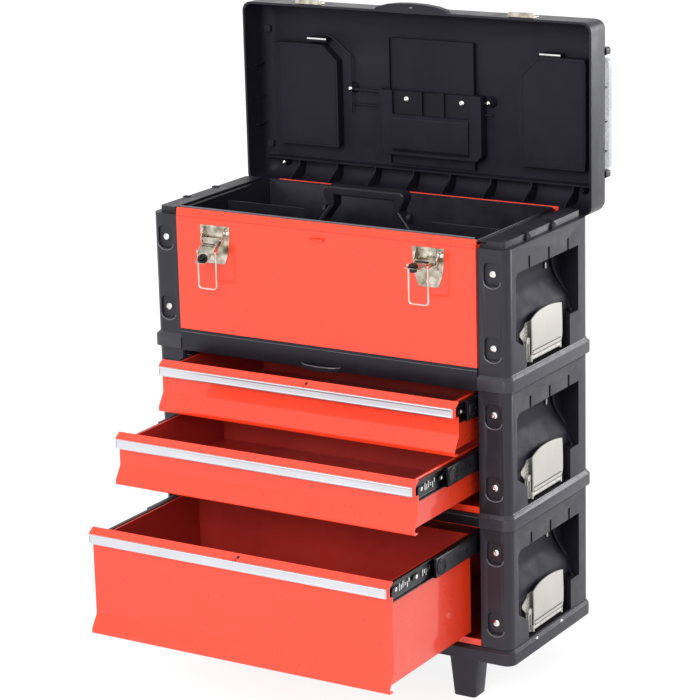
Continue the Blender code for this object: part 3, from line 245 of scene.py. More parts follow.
def make_finishes(sizes):
    """All finishes by the name that the pieces use."""
    red = tuple(sizes.red)
    return {
        "red": paint("red_coat", red, tuple(c * 0.93 for c in red)),
        # Darker red for the insides of drawers and cabinets and for the head's crease: painted shade, the same
        # paint as the red coat
        "red_inside": paint("red_coat_painted_shade", (0.46, 0.026, 0.016), (0.36, 0.018, 0.012), 0.42),
        "charcoal": moulding("charcoal_moulding", (0.0125, 0.012, 0.016), (0.021, 0.0205, 0.026), sheen=0.44),
        "black": moulding("black_moulding", (0.0075, 0.007, 0.010), (0.013, 0.0125, 0.017), 0.34, 0.36),
        # Darker, duller moulding for the side recesses and the handle recess: painted shade
        "recess": moulding("recess_shade_moulding", (0.0085, 0.008, 0.0115), (0.014, 0.0135, 0.0175), 0.46, 0.15),
        # Darker, duller black for faces that lie in shade: the lid's inside, the recess sheets, the clips and
        # the gaps; painted shade
        "inner": moulding("painted_shade_black_moulding", (0.0088, 0.008, 0.0135), (0.0155, 0.0145, 0.022), 0.50, 0.17),
        # Paler, glossier moulding for the flared collars at the frames' feet: painted sheen where they catch the
        # light
        "collar": moulding("collar_painted_sheen_moulding", (0.026, 0.0255, 0.031), (0.040, 0.039, 0.046), 0.30),
        # Paler, glossier moulding for thin lines along lips, rims and edges: painted highlights
        "lip": moulding("painted_highlight_moulding", (0.092, 0.092, 0.104), (0.14, 0.14, 0.155), 0.24),
        "nickel": plated("nickel_plate", (0.80, 0.75, 0.65), (0.26, 0.22, 0.16), 0.14, 95.0),
        "wire": plated("nickel_wire", (0.84, 0.76, 0.70), (0.66, 0.56, 0.48), 0.18, 60.0),
        "ivory": plated("satin_nickel", (0.60, 0.59, 0.545), (0.51, 0.50, 0.455), 0.42, 12.0, 0.35),
        "zinc": plated("zinc_plate", (0.62, 0.63, 0.65), (0.47, 0.48, 0.50), 0.28),
        "runner": plated("black_zinc", (0.045, 0.045, 0.050), (0.09, 0.09, 0.095), 0.30),
        "screw": plated("screw_zinc", (0.86, 0.86, 0.84), (0.66, 0.66, 0.64), 0.18, 90.0),
        "aluminium": brushed("pull_aluminium", (0.74, 0.75, 0.79), (0.62, 0.63, 0.67), 0.34, (0.01, 1, 1)),
        "tube": brushed("tube_aluminium", (0.78, 0.79, 0.80), (0.66, 0.67, 0.69), 0.26, (1, 1, 0.01)),
        "tyre": rubber("tyre_rubber"),
        "clear": clear_cover("clear_polystyrene"),
        "lock": plated("lock_black", (0.06, 0.06, 0.065), (0.03, 0.03, 0.032), 0.30, 80.0),
    }


FINISHES = {}
NODE_FINISH = {
    "red_painted_steel": "red", "zinc_plated_steel": "zinc", "nickel_plated_steel": "nickel",
    "brushed_aluminium": "aluminium", "black_moulding": "black", "charcoal_moulding": "charcoal",
    "tyre_rubber": "tyre", "clear_plastic": "clear", "dark_lock_metal": "lock",
}
# Slot of a piece by its finish, where the piece doesn't name another
USUAL_SLOT = {finish: slot for slot, finish in NODE_FINISH.items()}
USUAL_SLOT.update(red_inside="red_painted_steel", screw="zinc_plated_steel", runner="zinc_plated_steel",
                  wire="nickel_plated_steel", lip="black_moulding", inner="charcoal_moulding",
                  recess="charcoal_moulding")
# Points closer than this, in metres, are merged
MERGE = 2e-6

# Meshes


def linked(name, data):
    """An object in the scene's collection from its mesh, lamp or camera."""
    made = bpy.data.objects.new(name, data)
    bpy.context.collection.objects.link(made)
    return made


def mesh_object(name, parts):
    """One object from several (vertices, faces) parts, its place in its mesh."""
    vertices, faces, start = [], [], 0
    for points, loops in parts:
        points = np.asarray(points, float).reshape(-1, 3)
        vertices.append(points)
        faces += [tuple(i + start for i in loop) for loop in loops]
        start += len(points)
    mesh = bpy.data.meshes.new(name)
    mesh.from_pydata(place(np.vstack(vertices)).tolist(), [], faces)
    mesh.validate()
    shape = bmesh.new()
    shape.from_mesh(mesh)
    bmesh.ops.remove_doubles(shape, verts=shape.verts, dist=MERGE)
    bmesh.ops.recalc_face_normals(shape, faces=shape.faces)
    shape.to_mesh(mesh)
    shape.free()
    return linked(name, mesh)


def dress(piece, finish, body, slot, nodes=(), bevel=0.0, segments=2, crease=35.0):
    """Bevel and shade a piece, give it its finish and its body, and let it stand for CAD nodes; the slot is not
    used.
    """
    piece.data.materials.clear()
    piece.data.materials.append(FINISHES[finish])
    if bevel:
        edge = piece.modifiers.new("edge", "BEVEL")
        edge.width = bevel * MM
        edge.segments = segments
        edge.limit_method = "ANGLE"
        edge.angle_limit = math.radians(30.0)
        edge.use_clamp_overlap = True
        edge.harden_normals = True
    piece.data.shade_smooth()
    piece.data.set_sharp_from_angle(angle=math.radians(crease))
    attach(piece, body)
    if nodes:
        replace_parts(piece, *nodes)
    return piece


def build(name, parts, finish, body="frame", slot=None, **look):
    """A finished piece from its parts; its slot, by default the one its finish usually has, is passed on to
    dress.
    """
    return dress(mesh_object(name, parts), finish, body, slot or USUAL_SLOT[finish], **look)


def from_node(node, finish, bevel=0.6, **look):
    """A merged copy of a CAD node with softened edges, in place of the node."""
    mesh = frame["nodes"][node].data.copy()
    shape = bmesh.new()
    shape.from_mesh(mesh)
    bmesh.ops.remove_doubles(shape, verts=shape.verts, dist=MERGE)
    bmesh.ops.dissolve_limit(shape, angle_limit=math.radians(0.5), verts=shape.verts, edges=shape.edges)
    shape.to_mesh(mesh)
    shape.free()
    piece = linked(node + "_finished", mesh)
    return dress(piece, finish, BODY_OF[node], SLOT_OF[node], nodes=(node,), bevel=bevel, **look)


def to_axis(axis, flat, height):
    """Points from in-plane pairs and a height; the plane's order is XY, XZ or YZ."""
    flat = np.asarray(flat, float)
    height = np.broadcast_to(height, flat.shape[:-1])
    a, b = flat[..., 0], flat[..., 1]
    order = {"Z": (a, b, height), "Y": (a, height, b), "X": (height, a, b)}[axis]
    return np.stack(order, -1)


def grid_faces(rows, columns, wrap_rows=False, wrap_columns=False):
    """Quads of a grid of points stored row by row."""
    i = np.arange(rows if wrap_rows else rows - 1)
    j = np.arange(columns if wrap_columns else columns - 1)
    i, j = [g.ravel() for g in np.meshgrid(i, j, indexing="ij")]
    k, m = (i + 1) % rows, (j + 1) % columns
    return np.stack([i * columns + j, i * columns + m, k * columns + m, k * columns + j], -1).tolist()


def capped(rings):
    """Closed body through rings of equal length, an n-gon at each end."""
    rings = np.asarray(rings, float)
    rows, columns = rings.shape[:2]
    faces = grid_faces(rows, columns, wrap_columns=True)
    faces += [list(range(columns))[::-1], list(range((rows - 1) * columns, rows * columns))]
    return rings.reshape(-1, 3), faces


def slab(outline, axis, start, end):
    """An outline extruded along an axis."""
    return capped([to_axis(axis, outline, start), to_axis(axis, outline, end)])


def brick(low, high):
    """A box between two corners."""
    outline = [(low[0], low[1]), (high[0], low[1]), (high[0], high[1]), (low[0], high[1])]
    return slab(outline, "Z", low[2], high[2])


def thick_grid(front, back):
    """Closed plate between two grids of points: both faces and the quads round their rims."""
    rows, columns = front.shape[:2]
    index = np.arange(rows * columns).reshape(rows, columns)
    rim = np.concatenate([index[0], index[1:, -1], index[-1, -2::-1], index[-2:0:-1, 0]])
    faces = grid_faces(rows, columns)
    faces += [[k + index.size for k in face[::-1]] for face in faces]
    after = np.roll(rim, -1)
    faces += np.stack([rim, after, after + index.size, rim + index.size], -1).tolist()
    return np.concatenate([front.reshape(-1, 3), back.reshape(-1, 3)]), faces


def arc(centre, radii, start, end, count):
    """Points on an ellipse: centre plus radii times cosine and sine of an angle, given in half turns."""
    turn = np.linspace(start * np.pi, end * np.pi, count)
    return np.stack([centre[0] + radii[0] * np.cos(turn), centre[1] + radii[1] * np.sin(turn)], -1)


def circle(sides):
    """Cosine and sine of equal steps round a full turn."""
    turn = np.linspace(0, 2 * np.pi, sides, endpoint=False)
    return np.stack([np.cos(turn), np.sin(turn)], -1)


def ring_loft(axis, centre, profile, sides=32):
    """Profile of (radius, height) rows, each radius times a circle at its height, capped at both ends."""
    profile = np.asarray(profile, float)
    flat = profile[:, :1, None] * circle(sides)[None]
    return capped(to_axis(axis, flat, profile[:, 1:2]) + np.asarray(centre, float))


def hoop(axis, centre, profile, sides=48):
    """Closed profile of (radius, height) rows, each radius times a circle, joined into a ring."""
    profile = np.asarray(profile, float)
    flat = profile[None, :, :1] * circle(sides)[:, None]
    points = to_axis(axis, flat, profile[None, :, 1]) + np.asarray(centre, float)
    return points.reshape(-1, 3), grid_faces(sides, len(profile), True, True)


def fillet(points, radius, steps=5, closed=False):
    """Polyline with each corner replaced by an arc of a radius, or of radii given corner by corner."""
    points = [np.asarray(p, float) for p in points]
    count = len(points)
    radii = [radius] * count if np.isscalar(radius) else list(radius)
    out = []
    for i, here in enumerate(points):
        if (not closed and i in (0, count - 1)) or radii[i] <= 0:
            out.append(here)
            continue
        back, ahead = points[i - 1] - here, points[(i + 1) % count] - here
        lengths = np.linalg.norm(back), np.linalg.norm(ahead)
        back, ahead = back / lengths[0], ahead / lengths[1]
        half = math.acos(max(-1.0, min(1.0, float(back @ ahead)))) / 2
        if half > math.pi / 2 - 0.01:
            out.append(here)
            continue
        reach = min(radii[i] / math.tan(half), lengths[0] * 0.49, lengths[1] * 0.49)
        real = reach * math.tan(half)
        middle = (back + ahead) / np.linalg.norm(back + ahead)
        centre = here + middle * real / math.sin(half)
        start, end = here + back * reach - centre, here + ahead * reach - centre
        sweep = math.pi - 2 * half
        share = np.linspace(0, 1, steps + 1)[:, None]
        bend = (np.sin((1 - share) * sweep) * start + np.sin(share * sweep) * end) / math.sin(sweep)
        out += list(centre + bend)
    return np.array(out)


def rect(low, high, radius=0.0, steps=5):
    """Rounded rectangle as an outline."""
    corners = [(low[0], low[1]), (high[0], low[1]), (high[0], high[1]), (low[0], high[1])]
    return fillet(corners, radius, steps, closed=True) if radius else np.array(corners, float)


def pad(axis, low, high, radius, start, end, steps=5):
    """Rounded rectangle extruded along an axis."""
    return slab(rect(low, high, radius, steps), axis, start, end)


def cut(axis, outline, radius, start, end, steps=4):
    """Closed outline with rounded corners extruded along an axis."""
    return slab(fillet(outline, radius, steps, closed=True), axis, start, end)


def strip(path, thickness):
    """Outline of a bent sheet: the path, and back along it offset to the left by a thickness."""
    path = np.asarray(path, float)
    along = np.diff(path, axis=0)
    normal = np.stack([-along[:, 1], along[:, 0]], -1) / np.linalg.norm(along, axis=1)[:, None]
    first = np.vstack([normal[:1], normal])
    second = np.vstack([normal, normal[-1:]])
    scale = thickness / (1 + (first * second).sum(1, keepdims=True))
    return np.vstack([path, (path + scale * (first + second))[::-1]])


def wire(points, radius, sides=12, closed=False, flat=1.0):
    """Tube along a path: at each point a circle spanned by two directions square to the path."""
    points = np.asarray(points, float)
    count = len(points)
    if closed:
        ahead = np.roll(points, -1, 0) - np.roll(points, 1, 0)
    else:
        ahead = np.gradient(points, axis=0)
    ahead /= np.linalg.norm(ahead, axis=1)[:, None]
    normal = np.linalg.svd(points - points.mean(0))[2][2]
    side = np.cross(normal, ahead)
    side /= np.linalg.norm(side, axis=1)[:, None]
    up = np.cross(ahead, side)
    across, over = np.moveaxis(circle(sides)[None, :, :, None], 2, 0)
    rings = points[:, None] + radius * (across * side[:, None] + flat * over * up[:, None])
    if closed:
        return rings.reshape(-1, 3), grid_faces(count, sides, True, True)
    return capped(rings)


def mirrored(part):
    """A part reflected in the YZ plane."""
    points, faces = part
    return np.asarray(points, float) * (-1, 1, 1), [list(face)[::-1] for face in faces]


def sided(parts, side):
    """Parts drawn for the right side, or their mirror images."""
    return parts if side > 0 else [mirrored(part) for part in parts]


def both(*parts):
    """Parts drawn for the right side together with their mirror images."""
    return [*parts, *sided(parts, -1)]


def turned(part, centre, axis, degrees):
    """A part turned about an axis through a centre."""
    points, faces = part
    spin = np.array(Matrix.Rotation(math.radians(degrees), 3, Vector(axis)))
    centre = np.asarray(centre, float)
    return (np.asarray(points, float) - centre) @ spin.T + centre, faces


def screw_head(axis, centre, radius, height, out):
    """Domed screw head with a cross recess; out is +1 or -1 along the axis."""
    turn = np.linspace(0, np.pi / 2, 6)
    rim = [(radius, 0.0), (radius, height * 0.35)]
    dome = [(radius * math.cos(t) * 0.97 + 0.01, height * (0.35 + 0.65 * math.sin(t))) for t in turn[1:-1]]
    profile = np.array(rim + dome + [(radius * 0.34, height), (radius * 0.30, height * 0.55)])
    profile[:, 1] *= out
    return ring_loft(axis, centre, profile, 20)


def bolt_row(axis, points, radius, height, out):
    """Domed rivets at several points."""
    return [screw_head(axis, point, radius, height, out) for point in points]


def by_region(piece, finish, test):
    """Give a second finish to the faces whose centres, in box millimetres, pass a test."""
    piece.data.materials.append(FINISHES[finish])
    number = len(piece.data.materials) - 1
    centres = np.empty(len(piece.data.polygons) * 3)
    piece.data.polygons.foreach_get("center", centres)
    centres = centres.reshape(-1, 3) / MM
    centres[:, 1] -= FRONT / MM
    index = np.empty(len(centres), np.int32)
    piece.data.polygons.foreach_get("material_index", index)
    index[test(*centres.T)] = number
    piece.data.polygons.foreach_set("material_index", index)


# Looks and studio


class ToolBoxLooks(bpy.types.PropertyGroup):
    """Colours and softening that a user would change."""

    red: bpy.props.FloatVectorProperty(
        name="Red coat", description="Colour of the painted sheet metal", subtype="COLOR", size=3,
        min=0.0, max=1.0, default=(0.95, 0.050, 0.013))
    sheet_edge: bpy.props.FloatProperty(
        name="Sheet edge", description="Radius of the sheet metal's edges, millimetres", default=0.5, min=0.1,
        max=2.0, unit="NONE")
    moulded_edge: bpy.props.FloatProperty(
        name="Moulded edge", description="Radius of the mouldings' edges, millimetres", default=0.8, min=0.1,
        max=3.0, unit="NONE")


class ToolBoxStage(bpy.types.PropertyGroup):
    """Studio light and view."""

    turn: bpy.props.FloatProperty(
        name="View turn", description="How far the camera stands round to the right", subtype="ANGLE",
        default=math.radians(31.59752))
    rise: bpy.props.FloatProperty(
        name="View rise", description="How far the camera looks down", subtype="ANGLE",
        default=math.radians(15.37364))
    roll: bpy.props.FloatProperty(
        name="View roll", description="Tilt of the picture", subtype="ANGLE", default=math.radians(-1.47497))
    distance: bpy.props.FloatProperty(
        name="View distance", description="Camera to the point it looks at", unit="LENGTH", default=3.444768)
    lens: bpy.props.FloatProperty(
        name="Lens", description="Focal length in millimetres on a 36 mm frame", default=140.327)
    sky: bpy.props.FloatProperty(
        name="Room light", description="Strength of the even light around", default=0.80, min=0.0)
    key: bpy.props.FloatProperty(
        name="Key lamp", description="Power of the large lamp at the front left, watts", default=140.0, min=0.0)
    rim: bpy.props.FloatProperty(
        name="Side lamp", description="Power of the lamp at the right rear, watts", default=78.0, min=0.0)


class TOOLBOX_OT_stage(bpy.types.Operator):
    """Add the floor, the lamps, the even room light and the camera"""

    bl_idname = "toolbox.stage"
    bl_label = "Studio"

    def execute(self, context):
        looks = context.scene.toolbox_stage
        context.scene.view_settings.view_transform = "Standard"
        self.floor()
        self.world(context.scene, looks.sky)
        aim = Vector(place([-26.361, 100.0, 394.190])[0])
        self.lamp("key_lamp", aim, (0.4, -4.1, 2.1), 2.4, looks.key)
        self.lamp("side_lamp", aim, (2.3, 3.3, 0.9), 2.2, looks.rim)
        self.camera(context.scene, looks, aim)
        return {"FINISHED"}

    def seen_rays(self, tree):
        """1 for rays from the camera, a mirror or through clear plastic, 0 for rays that carry light."""
        path = [graph_node(tree, "LightPath", out=i) for i in (0, 3, 6)]
        clamped = {"operation": "ADD", "use_clamp": True}
        return graph_node(tree, "Math", clamped, {0: path[0] + path[1], 1: path[2]})

    def floor(self):
        """Square floor, z = 0 all over, as a grid of quads."""
        u, v = np.meshgrid(np.linspace(-30, 30, 9), np.linspace(-30, 30, 9), indexing="ij")
        points = np.stack([u, v, 0 * u], -1).reshape(-1, 3)
        mesh = bpy.data.meshes.new("floor")
        mesh.from_pydata(points.tolist(), [], [face[::-1] for face in grid_faces(9, 9)])
        made = linked("floor", mesh)
        material = bpy.data.materials.new("floor")
        material.use_nodes = True
        tree = material.node_tree
        tree.nodes.remove(tree.nodes["Principled BSDF"])
        paper = graph_node(tree, "BsdfDiffuse", None, {"Color": (0.74, 0.74, 0.74, 1)})
        shaded = graph_node(tree, "BsdfDiffuse", None, {"Color": (0.26, 0.26, 0.26, 1)})
        glow = graph_node(tree, "Emission", None, {"Color": (1, 1, 1, 1), "Strength": 0.86})
        seen = graph_node(tree, "AddShader", None, {0: shaded, 1: glow})
        mixed = graph_node(tree, "MixShader", None, {0: self.seen_rays(tree), 1: paper, 2: seen})
        tree.links.new(mixed.socket, tree.nodes["Material Output"].inputs["Surface"])
        made.data.materials.append(material)

    def world(self, scene, strength):
        """Even white light, shown as white behind the object."""
        world = bpy.data.worlds.new("studio")
        scene.world = world
        world.use_nodes = True
        tree = world.node_tree
        room = graph_node(tree, "Background", None, {"Color": (1, 1, 1, 1), "Strength": strength})
        seen = graph_node(tree, "Background", None, {"Color": (1, 1, 1, 1), "Strength": 1.0})
        mixed = graph_node(tree, "MixShader", None, {0: self.seen_rays(tree), 1: room, 2: seen})
        tree.links.new(mixed.socket, tree.nodes["World Output"].inputs["Surface"])

    def lamp(self, name, aim, offset, size, power):
        """Round lamp at an offset from the aim, turned to face it."""
        light = bpy.data.lights.new(name, "AREA")
        light.shape = "DISK"
        light.size = size
        light.energy = power
        made = linked(name, light)
        made.location = aim + Vector(offset)
        made.rotation_euler = Vector(offset).to_track_quat("Z", "Y").to_euler()

    def camera(self, scene, looks, aim):
        """Camera on a sphere round the aim at a turn and a rise, rolled about its view line."""
        level = math.cos(looks.rise)
        back = Vector((math.sin(looks.turn) * level, -math.cos(looks.turn) * level, math.sin(looks.rise)))
        side = (-back).cross(Vector((0, 0, 1))).normalized()
        up = side.cross(-back)
        c, s = math.cos(looks.roll), math.sin(looks.roll)
        side, up = c * side + s * up, c * up - s * side
        camera = bpy.data.cameras.new("camera")
        camera.sensor_width = 36.0
        camera.lens = looks.lens
        scene.camera = linked("camera", camera)
        facing = Matrix((side, up, back)).transposed().to_4x4()
        scene.camera.matrix_world = Matrix.Translation(aim + back * looks.distance) @ facing


class TOOLBOX_OT_top_box(bpy.types.Operator):
    """Add the red front panel with its folded head and padlock staple, and the box behind it"""

    bl_idname = "toolbox.top_box"
    bl_label = "Top box"

    def execute(self, context):
        thick, low, rear = 1.2, 426.6, 211.9
        inner = PANEL_HALF - thick
        # The panel is one sheet: straight up, leaning back in a head band, and folded over at the top
        path = fillet([(-3.2, 426.4), (-3.2, 569.0), (-1.9, 580.6), (-0.4, 582.4), (1.2, 581.4), (1.2, 573.5)],
                      [0, 4, 1.5, 1.0, 1.0, 0], 4)
        panel = slab(strip(path, -thick), "X", -PANEL_HALF, PANEL_HALF)
        walls = [brick((-PANEL_HALF, -1.9, low), (-inner, rear, 574.3)),
                 brick((inner, -1.9, low), (PANEL_HALF, rear, 574.3)),
                 brick((-inner, -1.9, low), (inner, rear, low + thick)),
                 brick((-inner, rear - thick, low), (inner, rear, 574.4))]
        head = strip(fillet([(210.6, 560.0), (210.6, 579.0), (213.4, 579.0), (213.4, 571.0)], 0.8, 4), -0.9)
        walls.append(slab(head, "X", -196.0, 212.0))
        loop = fillet([(-14.5, -4.5), (-14.5, -8.2), (3.5, -8.2), (3.5, -4.5)], 2.6, 5)
        staple = [wire(to_axis("Z", loop, 561.4), 1.5, 10, flat=0.8),
                  pad("Y", (-15.5, 556.5), (4.5, 566.5), 2.0, -3.9, -3.1)]
        build("front_panel", [panel], "red", nodes=("top_box_shell",), bevel=0.35)
        build("top_box_walls", walls, "red", bevel=0.3)
        build("padlock_staple", staple, "red", bevel=0.3)
        rivets = bolt_row("Y", [(x, 209.8, 576.4) for x in (-187, -20, 35, 93, 150, 206)], 1.9, 1.0, -1)
        build("rear_rivets", rivets, "screw")
        return {"FINISHED"}


class TOOLBOX_OT_rails(bpy.types.Operator):
    """Add the two black moulded rails and the padlock tab"""

    bl_idname = "toolbox.rails"
    bl_label = "Front rails"

    def execute(self, context):
        middle = (-5.5, -2.0)
        for name, low, high in (("top_front_rail", 397.2, 426.0), ("middle_front_rail", 226.9, 242.9)):
            outline = [(1.2, low), (-2.8, low), (-2.8, high - 4.2), (-2.1, high - 3.4), (-2.1, high),
                       (1.2, high)]
            parts = [cut("X", outline, [0, 1.0, 0.3, 0.3, 0.8, 0], -PANEL_HALF, PANEL_HALF)]
            # A thin paler, glossier line along the top of the ledge: painted highlight
            ledge = [(x, -2.55, high - 3.8) for x in (-212.4, 0.0, 212.4)]
            build(name + "_ledge", [wire(ledge, 0.42, 8)], "lip")
            if name == "top_front_rail":
                bow = [*arc(middle, (28.5, 10.0), 1, 2, 33), *arc(middle, (25.0, 6.8), 2, 1, 33)]
                parts.append(slab(bow, "Z", low, low + 5.5))
                parts.append(slab(arc(middle, (27.36, 9.6), 1, 2, 33), "Z", low + 0.2, low + 2.0))
            build(name + "_moulding", parts, "black", nodes=(name,), bevel=0.5)
        # A paler, glossier ring along the tab's rim: painted highlight
        rim = arc(middle, (27.6, 9.3), 1.02, 1.98, 25)
        build("padlock_tab_rim_highlight", [wire(to_axis("Z", rim, 402.7), 0.8, 10)], "lip")
        return {"FINISHED"}


class TOOLBOX_OT_end_frames(bpy.types.Operator):
    """Finish the six moulded end frames: recess ridges, screws, clips, plated latch mounts and links"""

    bl_idname = "toolbox.end_frames"
    bl_label = "End frames"

    def execute(self, context):
        soft = context.scene.toolbox_looks.moulded_edge
        for level, (module, low) in enumerate(MODULES):
            for name, side in SIDES:
                piece = from_node(f"{module}_end_frame_{name}", "charcoal", soft)
                # Painted shade: the side recess takes the darker, duller moulding
                by_region(piece, "recess", lambda x, y, z: self.inside(abs(x), y, z - low))
                # Painted sheen: the flared collar at the foot takes a paler, glossier moulding
                by_region(piece, "collar", lambda x, y, z: (z - low < 18.6) & (z - low > -0.5) & (abs(x) > 213))
                by_region(piece, "ivory", lambda x, y, z: self.mount(abs(x), y, z - low))
                by_region(piece, "screw", lambda x, y, z: self.post_screw(abs(x), y, z - low))
                self.details(module + "_" + name, level, low, side)
        return {"FINISHED"}

    def inside(self, x, y, h):
        """Faces of the side recess."""
        return (x < 252.2) & (x > 225) & (y > 21.5) & (y < 185.5) & (h > 19.5) & (h < 141.5)

    def mount(self, x, y, h):
        """Faces of the latch's mounting plate, ears and link."""
        return (x > 240.6) & (x < 251.5) & (y > 48.5) & (y < 161.5) & (h > 20.5) & (h < 73)

    def post_screw(self, x, y, h):
        """Faces of the two post screws."""
        reach = np.minimum(*[np.hypot(x - 232.5, h - height) for height in SCREW_HEIGHTS])
        return (reach < 4.5) & (y < 3.9)

    def details(self, name, level, low, side):
        """Trim and the recess sheets, dark as painted shade: on a grid, a depth of 227 plus 14 times a smooth
        step of the height.
        """
        ridge = fillet([(228.6, 159.0, 140.5), (228.6, 161.5, 118), (229.6, 171, 103), (236.5, 178.5, 86),
                        (242.0, 180.5, 61)], 16, 6) + (0, 0, low)
        # The ridge, the top notches and the recess bolts take the recess finish: painted shade
        dark = [wire(ridge, 2.1, 12)]
        h = np.linspace(61.5, 140.5, 34)[:, None] * np.ones((1, 24))
        right = np.interp(h, ridge[::-1, 2] - low, ridge[::-1, 1])
        sweep = np.clip((108.0 - h) / 34.0, 0, 1)
        depth = 227.0 + 14.0 * sweep * sweep * (3 - 2 * sweep)
        depth -= 1.2 * np.sin(np.pi * np.clip((h - 108) / 40, 0, 1))
        share = np.linspace(0, 1, 24)
        # Both sheets take the darker, duller moulding; the hollow sheet is a dark sheet laid where the recess is
        # in shade, painted shade
        self.sheet(name + "_recess_sweep", (depth + 0.5, 22.6 + (right - 22.6) * share, h + low), side)
        self.sheet(name + "_recess_hollow_shade", (depth + 0.1, right + 1.0 + (184.4 - right) * share, h + low), side)
        if level == 0:
            bolts = bolt_row("X", [(254.4, 64.5, 68.2), (254.4, 130.5, 68.2)], 3.2, 1.8, 1)
            build(name + "_base_bolts", sided(bolts, side), "screw")
        if level == 2:
            for y in (64.5, 130.5):
                outline = [(y - 4.5, 570.6), (y + 4.5, 570.6), (y + 4.5, 577.2), (y + 2.5, 578.4),
                           (y - 2.5, 578.4), (y - 4.5, 577.2)]
                dark.append(cut("X", outline, 0.8, 243.4, 247.6, 3))
                dark.append(brick((238.5, y - 3, 577.0), (246.5, y + 3, 580.6)))
        # The clips, and the line at the joint below an upper module, take the darker, duller moulding: painted
        # shade in the slot and the joint
        clips = [pad("X", (42.0, low + 52.3), (46.6, low + 64.0), 2.0, 241.2, 242.6),
                 pad("X", (44.8, low + 19.4), (49.0, low + 32.0), 1.8, 250.6, 252.4)]
        if level > 0:
            clips.append(wire([(252.3, 9.0, low - 3.6), (252.3, 205.0, low - 3.6)], 0.5, 6))
        build(name + "_clips", sided(clips, side), "inner", bevel=0.2)
        dark += bolt_row("X", [(249.2, 170.5, low + 62.8), (249.2, 185.0, low + 58.6)], 1.9, 1.2, 1)
        build(name + "_recess_ridge", sided(dark, side), "recess", bevel=0.4)
        bright = [pad("X", (142.5, low + 118.0), (146.5, low + 125.5), 1.9, 227.6, 229.0)]
        # Thin lines under the screw pockets and along the foot's groove, in the paler, glossier moulding:
        # painted highlights
        highlight_lips = []
        for height in SCREW_HEIGHTS:
            bright.append(screw_head("Y", (232.5, 2.4, low + height), 4.4, 2.3, -1))
            pocket = arc((232.5, low + height - 8.5), (11.4, 8.4), 1, 2, 17)
            highlight_lips.append(wire(to_axis("Y", pocket, 0.1), 0.8, 8))
        build(name + "_screws", sided(bright, side), "screw")
        if level > 0:
            groove = fillet([(252.35, 9.0), (252.35, 212.3), (238.0, 212.3)], 11, 6)
            highlight_lips.append(wire(to_axis("Z", groove, low + 19.0), 0.45, 6))
        build(name + "_lips", sided(highlight_lips, side), "lip", "frame", "charcoal_moulding")

    def sheet(self, name, grids, side):
        """Grid surface 0.4 mm thick in the darker moulding that paints shade; its smooth step is 3 s squared
        minus 2 s cubed down the recess.
        """
        front = np.stack(grids, -1)
        part = (front.reshape(-1, 3), grid_faces(*front.shape[:2]))
        piece = build(name, sided([part], side), "inner", crease=60)
        solid = piece.modifiers.new("sheet", "SOLIDIFY")
        solid.thickness = 0.4 * MM
        solid.offset = -1.0


class TOOLBOX_OT_side_latches(bpy.types.Operator):
    """Add the satin levers, tongues and wire links of the six side latches"""

    bl_idname = "toolbox.side_latches"
    bl_label = "Side latches"

    def execute(self, context):
        for module, low in MODULES:
            for name, side in SIDES:
                node = f"{module}_side_latch_{name}"
                body, slot = BODY_OF[node], SLOT_OF[node]
                build(node + "_lever", sided(self.lever(low), side), "ivory", body, slot, nodes=(node,),
                      bevel=0.45)
                build(node + "_lines", sided(self.lines(low), side), "lock", body, slot)
                build(node + "_tongue", sided(self.tongue(low), side), "ivory", "frame", slot, bevel=0.3)
        return {"FINISHED"}

    def lever(self, low):
        """Arched plate on a grid: u across, v up; its face bows out by a millimetre and its head is an arc."""
        u, v = np.meshgrid(np.linspace(-1, 1, 25), np.linspace(0, 1, 17), indexing="ij")
        half = 39.5 - 3.5 * np.clip(1 - v * 6, 0, 1) * (u > 0)
        y = 107 + u * half
        z = low + 27.5 + v * (49.8 + 4.6 * (1 - u * u) - 8.0 * np.clip(-u - 0.35, 0, 1) ** 2)
        x = 249.4 + 1.3 * np.sin(np.pi * (0.12 + 0.88 * v)) * (1 - 0.35 * u ** 4)
        front = np.stack([x, y, z], -1)
        parts = [thick_grid(front, front - (1.9, 0, 0)),
                 pad("X", (69.5, low + 29.5), (140.0, low + 35.5), 1.0, 249.0, 250.9)]
        # The knuckle in three lengths and the pin through them
        for radius, start, end, sides in (
                (3.2, 67.7, 83.0, 20), (3.2, 83.6, 128.0, 20), (3.2, 128.6, 142.6, 20), (1.4, 64.9, 145.4, 12)):
            parts.append(ring_loft("Y", (247.0, 0, low + 26.2), [(radius, start), (radius, end)], sides))
        return parts

    def lines(self, low):
        """Two dark shut lines over the knuckle."""
        return [brick((249.6, 69.0, low + h), (251.0, 141.0, low + h + 0.7)) for h in (30.4, 35.2)]

    def tongue(self, low):
        """Ribbed pointed bracket and the rounded wire link with its hook."""
        point = [(66.5, 42.0), (66.5, 67.6), (62.5, 67.6), (48.4, 60.4), (48.4, 56.6), (64.0, 42.0)]
        parts = [cut("X", np.array(point) + (0, low), 1.4, 241.9, 243.6)]
        for h in (47.5, 52.0, 56.5, 61.0, 65.5):
            start = 56.5 + abs(h - 56.5) * 0.5
            parts.append(brick((243.4, start, low + h - 0.9), (244.5, 66.0, low + h + 0.9)))
        loop = fillet([(65.8, 23.4), (59.2, 23.4), (59.2, 48.0), (65.8, 48.0)], 3.1, 6, closed=True)
        for x in (243.6, 246.2):
            parts.append(wire(to_axis("X", loop + (0, low), x), 1.1, 10, closed=True))
        parts.append(pad("X", (58.2, low + 45.0), (67.0, low + 52.5), 3.0, 242.4, 247.4))
        return parts


